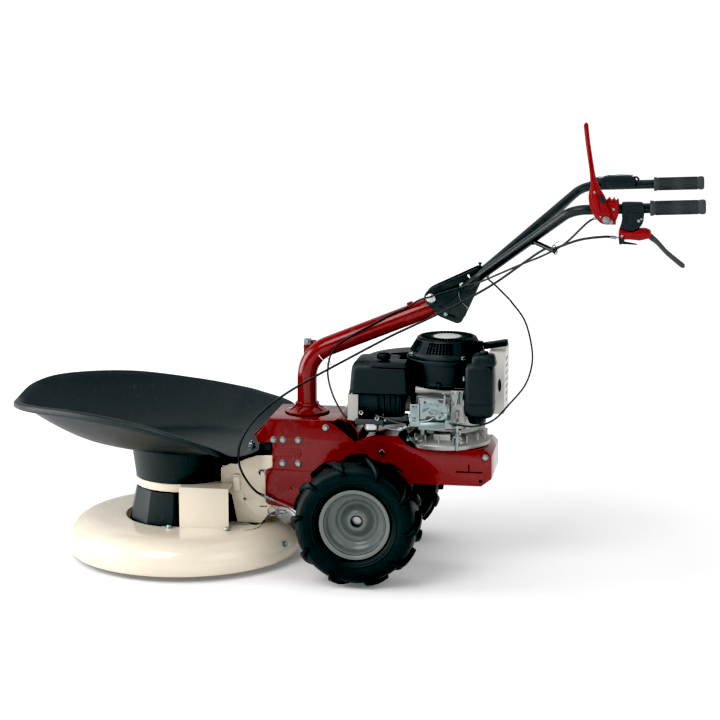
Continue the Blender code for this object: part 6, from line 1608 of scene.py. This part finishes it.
def handle_tubes():
    for side, label in SIDES:
        parts = [wire(rounded_path(bar_corners(side), [0.06, 0.07], 18), TUBE_R, 36)]
        if side < 0:
            parts += cable_hanger()
        piece('handle_' + label, together(*parts), BLACK_PAINT, 'handle_tube_' + label, 40.0,
              body='handlebar')
        direction = Vector((GRIP_RUN, 0.0, GRIP_RISE)).normalized()
        tip = Vector(bar_corners(side)[-1]) + direction * 0.0003
        length = 0.13
        start = tip - direction * (length - 0.008)
        r = 0.0165
        sleeve = [(0.0123, 0.0), (r + 0.0008, 0.0), (r + 0.0016, 0.0012), (r + 0.0016, 0.0068),
                  (r + 0.0008, 0.0086), (r - 0.0006, 0.0104), (r - 0.0008, 0.04),
                  (r + 0.0002, 0.062), (r - 0.0006, 0.086), (r - 0.0002, length - 0.016),
                  (r + 0.0006, length - 0.013), (r + 0.0012, length - 0.01),
                  (r + 0.001, length - 0.004), (r - 0.0016, length - 0.0008),
                  (r - 0.005, length), (0.0, length)]
        body = lathe(eased(sleeve, 0.003, 3, False), 56)
        line = block((r - 0.0012, -0.0006, 0.012), (r + 0.0005, 0.0006, length - 0.019), 0.0003, 1)
        ribs = ring_of('grip_ribs', line, 30, GRIP_RUBBER)
        hoop = lathe([(r - 0.001, -0.0006), (r + 0.0007, -0.0004), (r + 0.0007, 0.0004),
                      (r - 0.001, 0.0006), (r - 0.001, -0.0006)], 48)
        hoops = row_of('grip_hoops', moved(hoop, at(0, 0, 0.018)), 17, (0, 0, 0.0058), GRIP_RUBBER)
        piece('rubber_grip_' + label, moved(together(body, ribs, hoops), facing(direction, start)),
              GRIP_RUBBER, 'grip_' + label, 40.0, body='handlebar')


def engage_lever():
    """Toothed clamp on the left handle and the bent lever that swings beside it."""
    y = -GRIP_Y
    near = y - TUBE_R - 0.005
    far = y + TUBE_R + 0.005
    ring = [(0.588, 0.95), (0.593, 0.93), (0.612, 0.927), (0.626, 0.934), (0.632, 0.95),
            (0.632, 0.98), (0.6295, 0.987), (0.624, 0.981), (0.6205, 0.989), (0.614, 0.982),
            (0.609, 0.99), (0.603, 0.983), (0.588, 0.984)]
    radii = [0.004, 0.006, 0.006, 0.006, 0.005, 0.003] + [0.0016] * 6 + [0.004]
    clamp = plate([eased(ring, radii, 4)], near, far, 0.0016, 3)
    bore = bar((0.57, y, bar_height(0.57)), (0.65, y, bar_height(0.65)), TUBE_R + 0.0004, 36,
               0.0001)
    split = block((0.58, y - 0.001, 0.92), (0.64, y + 0.001, 0.956), 0.0002, 1)
    clamp = carved(clamp, bore, split)
    lug = block((0.6, near - 0.0008, 0.926), (0.626, near + 0.003, 0.94), 0.0014, 2)
    x, z = ENGAGE_PIN
    pin = bar((x, near - 0.013, z), (x, near + 0.004, z), 0.004, 24)
    collar = bar((x, near - 0.0028, z), (x, near + 0.004, z), 0.009, 32)
    piece('ratchet_clamp', together(clamp, lug, pin, collar), DEEP_RED, 'lever_clamp', 34.0,
          body='handlebar')
    fasteners('clamp_nuts', [((x, near - 0.0096, z), (0, -1, 0), 0.0125),
                             ((0.613, near - 0.0008, 0.933), (0, -1, 0), 0.009)], 'nut',
              body='handlebar')
    fasteners('clamp_screws', [((0.62, near, 0.962), (0, -1, 0), 0.006)], 'pan', body='handlebar')

    line = [(0.546, 1.16), (0.551, 1.167), (0.557, 1.163), (0.562, 1.12), (0.577, 1.035),
            (0.59, 1.008), (0.602, 0.99), (0.604, 0.972), (0.612, 0.958), (0.616, 0.944),
            (0.612, 0.931), (0.602, 0.926), (0.588, 0.931), (0.572, 0.95), (0.562, 0.975),
            (0.56, 0.998), (0.567, 1.022), (0.551, 1.12)]
    radii = [0.004, 0.004, 0.004, 0.02, 0.02, 0.01, 0.008, 0.008, 0.006, 0.006, 0.006, 0.006,
             0.008, 0.01, 0.01, 0.01, 0.01, 0.02]
    thick = 0.006
    out = near - 0.0031 - thick
    blade = plate([eased(line, radii, 5), circle(x, z, 0.0044, 28)], out, out + thick, 0.0022, 4)
    spine = plate([eased([(0.551, 1.15), (0.5545, 1.15), (0.57, 1.035), (0.583, 0.99),
                          (0.59, 0.955), (0.578, 0.955), (0.568, 0.985), (0.564, 1.035)], 0.004,
                         4)], out - 0.0016, out + 0.001, 0.0012, 3)
    eye = carved(bar((x, out - 0.0004, z), (x, out + thick, z), 0.0105, 36, 0.001),
                 bar((x, out - 0.01, z), (x, out + 0.02, z), 0.0044, 28))
    piece('engaging_lever', together(blade, spine, eye), DEEP_RED, 'engage_lever', 34.0,
          body='engage')
    pawl = plate([eased([(0.583, 0.996), (0.593, 0.996), (0.603, 0.982), (0.599, 0.974),
                         (0.59, 0.978), (0.585, 0.988)], 0.002)], out - 0.0012, out + 0.0012,
                 0.0006)
    piece('lever_pawl', pawl, LEVER_PLASTIC, body='engage')
    fasteners('lever_screws', [((0.5748, out - 0.001, 1.003), (0, -1, 0), 0.0056),
                               ((0.59, out - 0.0005, 0.945), (0, -1, 0), 0.005)], 'pan',
              body='engage')


def clutch_lever():
    """Black housing on the left grip's tube, the red lever whose cheeks pass outside it, the
    lever's rubber blade, and the small trigger below."""
    x, z = CLUTCH_PIN
    y = -GRIP_Y
    half = 0.015
    top = bar_height(0.66) + TUBE_R + 0.003
    ring = [(0.638, top), (0.686, top), (0.692, top - 0.006), (0.69, 0.93), (0.676, 0.913),
            (0.656, 0.909), (0.643, 0.88), (0.6345, 0.878), (0.6325, 0.895), (0.6325, 0.911),
            (0.64, 0.935)]
    radii = [0.004, 0.004, 0.004, 0.01, 0.008, 0.004, 0.004, 0.004, 0.004, 0.008, 0.008]
    body = plate([eased(ring, radii, 5)], y - half, y + half, 0.0024, 4)
    bore = bar((0.62, y, bar_height(0.62)), (0.7, y, bar_height(0.7)), TUBE_R + 0.0003, 32, 0.0001)
    slot = block((0.6, y - 0.0078, 0.86), (0.7, y + 0.0078, 0.946), 0.0005, 1)
    body = carved(body, bore, slot)
    pad = block((0.648, y - 0.0085, top - 0.0012), (0.684, y + 0.0085, top + 0.001), 0.0008, 3)
    frames = (([(0.648, 0.956), (0.682, 0.956), (0.682, 0.924), (0.65, 0.924)], 0.004),
              ([(0.65, 0.954), (0.68, 0.954), (0.68, 0.926), (0.652, 0.926)], 0.003))
    rim = plate([eased(frame_ring, radius) for frame_ring, radius in frames], y - half - 0.0007,
                y - half + 0.001, 0.0003, 1)
    pins = [bar((0.6265, y, 0.8932), (0.636, y, 0.894), 0.0011, 12, 0.0002),
            bar((x, y - half - 0.003, z), (x, y + half + 0.003, z), 0.003, 20),
            bar((0.638, y - half + 0.001, 0.882), (0.638, y + half - 0.001, 0.882), 0.0015, 20)]
    piece('lever_bracket', together(body, pad, rim, *pins), LEVER_PLASTIC, 'lever_housing', 32.0,
          body='handlebar')
    fasteners('lever_bracket_screws', [((0.679, y - half, 0.9358), (0, -1, 0), 0.0078),
                                       ((0.6852, y - half + 0.001, 0.94), (0, -1, 0), 0.0056)],
              'pan', body='handlebar')
    red = [(0.6325, 0.902), (0.633, 0.916), (0.64, 0.9155), (0.65, 0.911), (0.6594, 0.909),
           (0.671, 0.911), (0.682, 0.9165), (0.696, 0.9165), (0.7085, 0.911), (0.708, 0.896),
           (0.6832, 0.8895), (0.6598, 0.8915), (0.637, 0.8915)]
    grip = plate([eased(red, 0.004, 5), circle(x, z, 0.0034, 20)], y - half - 0.0038,
                 y + half + 0.0038, 0.0024, 4)
    gaps = [block((0.6, y + low, 0.86), (0.7035, y + high, 0.93), 0.0004, 1)
            for low, high in ((-half - 0.0012, -0.0072), (0.0072, half + 0.0012))]
    piece('clutch_handle', carved(grip, *gaps), DEEP_RED, 'clutch_lever', 34.0, body='clutch')
    fasteners('clutch_pivot_screw', [((x, y - half - 0.0036, z), (0, -1, 0), 0.0072)], 'pan',
              body='handlebar')
    blade = [(0.704, 0.909), (0.724, 0.892), (0.748, 0.865), (0.79, 0.8325), (0.788, 0.8245),
             (0.78, 0.826), (0.742, 0.857), (0.719, 0.882), (0.703, 0.892)]
    sleeve = plate([eased(blade, [0.003, 0.01, 0.012, 0.005, 0.005, 0.005, 0.012, 0.01, 0.003], 6)],
                   y - 0.01, y + 0.01, 0.0042, 5)
    piece('clutch_blade', sleeve, GRIP_RUBBER, body='clutch')
    line = [(0.634, 0.8845), (0.64, 0.8855), (0.66, 0.8825), (0.676, 0.8795), (0.6765, 0.8775),
            (0.658, 0.8785), (0.64, 0.879), (0.634, 0.88)]
    trigger = plate([eased(line, 0.0014, 3), circle(0.638, 0.882, 0.0019, 16)], y - 0.005,
                    y + 0.005, 0.0008, 3)
    piece('trigger', trigger, LEVER_PLASTIC, 'clutch_trigger', 34.0, body='trigger')


def throttle():
    y = GRIP_Y
    x = 0.615
    low = bar_height(x - 0.04) + TUBE_R + 0.0002
    top = low + 0.014
    case = plate([eased([(x - 0.058, low - 0.004), (x - 0.056, low + 0.004), (x - 0.034, top),
                         (x + 0.028, top), (x + 0.042, top - 0.006), (x + 0.044, low - 0.002),
                         (x + 0.036, low - 0.016), (x - 0.036, low - 0.016)],
                        [0.003, 0.006, 0.01, 0.008, 0.006, 0.004, 0.006, 0.006], 5)],
                 y - 0.018, y + 0.018, 0.003, 4)
    bore = bar((x - 0.05, y, bar_height(x - 0.05)), (x + 0.05, y, bar_height(x + 0.05)),
               TUBE_R + 0.0003, 32, 0.0001)
    under = block((x - 0.05, y - 0.0124, low - 0.03), (x + 0.05, y + 0.0124, low - 0.012), 0.0002,
                  1)
    case = carved(case, bore, under)
    stub = bar((x, y, top - 0.002), (x, y, top + 0.0022), 0.003, 20, 0.0003)
    line = block((x - 0.048, y - 0.0184, low - 0.0005), (x + 0.038, y - 0.017, low + 0.001),
                 0.0004, 1)
    hook = strand([(x + 0.036, y, top - 0.004), (x + 0.044, y, top - 0.003),
                   (x + 0.049, y, top - 0.008), (x + 0.048, y, low + 0.001),
                   (x + 0.036, y, low - 0.002)], 20, 0.0026, 14)
    entry = bar((x - 0.066, y + 0.001, low + 0.0015), (x - 0.05, y, low + 0.003), 0.0042, 24,
                0.0008, 0.0056)
    piece('throttle_case', together(case, stub, line, hook, entry), LEVER_PLASTIC, 'throttle_box',
          32.0, body='handlebar')
    ring = [(x + 0.012, y - 0.006), (x + 0.034, y - 0.004), (x + 0.036, y),
            (x + 0.034, y + 0.004), (x + 0.012, y + 0.006), (x, y + 0.012),
            (x - 0.01, y + 0.006), (x - 0.01, y - 0.006), (x, y - 0.012)]
    lever = plate([eased(ring, 0.003, 4), circle(x, y, 0.0034, 20)], top + 0.0003, top + 0.0028,
                  0.0006, 3, False)
    piece('throttle_plate', lever, ZINC, 'throttle_lever', body='throttle')
    fasteners('throttle_screws', [((x - 0.03, y - 0.011, top - 0.0002), (0, 0, 1), 0.0052),
                                  ((x - 0.03, y + 0.011, top - 0.0002), (0, 0, 1), 0.0052)], 'pan',
              body='handlebar')


for part in (column, handle_bracket, handle_tubes, engage_lever, clutch_lever, throttle):
    part()


# Control cables

def beside_column(x, angle):
    """Point on the sloped column's surface, turned from its near side to its top."""
    reach = COLUMN_R + 0.0035
    up = reach * math.sin(math.radians(angle))
    return (x - up * math.sin(COLUMN_SLOPE), -reach * math.cos(math.radians(angle)),
            axis_height(x) + up * math.cos(COLUMN_SLOPE))


def cables():
    """Each cable in an upper stretch and a lower one: a sheath along its route, and a plated
    ferrule at its end that rides on the handlebar for the upper stretch and on the chassis for the
    lower one.
    """
    routes = {
        'clutch_cable_upper': (0.003, [
            (0.6275, -0.279, 0.893), (0.6, -0.278, 0.895), (0.542, -0.272, 0.886),
            (0.481, -0.237, 0.86), (0.445, -0.208, 0.848), (0.331, -0.165, 0.761),
            (0.243, -0.14, 0.706), (0.166, -0.12, 0.663), (0.11, -0.108, 0.634)]),
        'clutch_cable_lower': (0.003, [
            (0.1094, -0.1079, 0.6337), (0.06, -0.101, 0.608), (-0.052, -0.103, 0.5455),
            (-0.159, -0.15, 0.488), (-0.228, -0.195, 0.443), (-0.272, -0.228, 0.3975),
            (-0.2955, -0.241, 0.349), (-0.2985, -0.238, 0.302), (-0.29, -0.208, 0.257),
            (-0.28, -0.135, 0.206), (-0.266, -0.0985, 0.184)]),
        'engage_cable_upper': (0.0025, [
            (0.5865, -0.268, 0.94), (0.56, -0.264, 0.928), (0.505, -0.245, 0.873),
            (0.452, -0.206, 0.838), (0.4, -0.165, 0.811), (0.34, -0.122, 0.779),
            (0.289, -0.087, 0.752), (0.249, -0.066, 0.737), (0.2, -0.05, 0.7195),
            (0.1565, -0.043, 0.704), (0.137, -0.0415, 0.698), (0.118, -0.029, 0.6875),
            beside_column(0.104, 48)]),
        'engage_cable_lower': (0.0025, [
            beside_column(0.1028, 48), beside_column(0.06, 45), beside_column(0.01, 28),
            beside_column(-0.045, 12), beside_column(-0.085, -8), (-0.1015, -0.036, 0.54),
            (-0.106, -0.042, 0.495), (-0.09, -0.066, 0.45), (-0.064, -0.092, 0.413),
            (-0.045, -0.107, 0.398), (-0.0245, -0.112, 0.394)]),
        'throttle_cable_upper': (0.0025, [
            (0.574, 0.279, 0.979), (0.555, 0.282, 0.9775), (0.53, 0.296, 0.959),
            (0.5, 0.277, 0.925), (0.4085, 0.167, 0.843), (0.31, 0.068, 0.762),
            (0.294, 0.045, 0.745), (0.3, 0.018, 0.741), (0.318, -0.008, 0.732),
            (0.356, -0.02, 0.698)]),
        'throttle_cable_lower': (0.0025, [
            (0.3564, -0.0202, 0.6975), (0.395, -0.028, 0.647), (0.414, -0.036, 0.583),
            (0.416, -0.046, 0.536), (0.401, -0.065, 0.488), (0.366, -0.096, 0.446),
            (0.33, -0.136, 0.412), (0.285, -0.155, 0.398), (0.236, -0.14, 0.397),
            (0.2165, -0.1245, 0.397)]),
    }
    for name, (radius, points) in routes.items():
        path = smooth_path(points, 96)
        length = sum((b - a).length for a, b in zip(path, path[1:]))
        upper = name.endswith('upper')
        body = 'handlebar' if upper else 'chassis'
        tip, inner = (path[0], path[2]) if upper else (path[-1], path[-3])
        cap = bar(tip, tip + (inner - tip).normalized() * 0.014, radius + 0.0011, 20, 0.0004)
        ferrule = piece(name + '_ferrule', cap, ZINC, body=body)
        sheath = bpy.data.objects.new(name.replace('cable', 'sheath'), wire(path, radius, 14))
        sheath.data.transform(Matrix.Translation(SHIFT))
        sheath.data.materials.append(SHEATH)
        sheath.data.shade_smooth()
        scene.collection.objects.link(sheath)
        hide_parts(name)
        shifted = [p + SHIFT for p in path]
        if upper:
            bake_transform(sheath)
        else:
            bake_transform(sheath)
        2 * radius


cables()


# Frame pieces that show as they are, each with its finish

KEPT = {'axle_shaft': STEEL, 'worm_shaft': STEEL, 'crankshaft': STEEL, 'flywheel': CAST_ALLOY,
        'mower_belt': GRIP_RUBBER, 'travel_belt': GRIP_RUBBER}
for node, finish in KEPT.items():
    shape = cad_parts[node].data
    shape.materials.clear()
    shape.materials.append(finish)
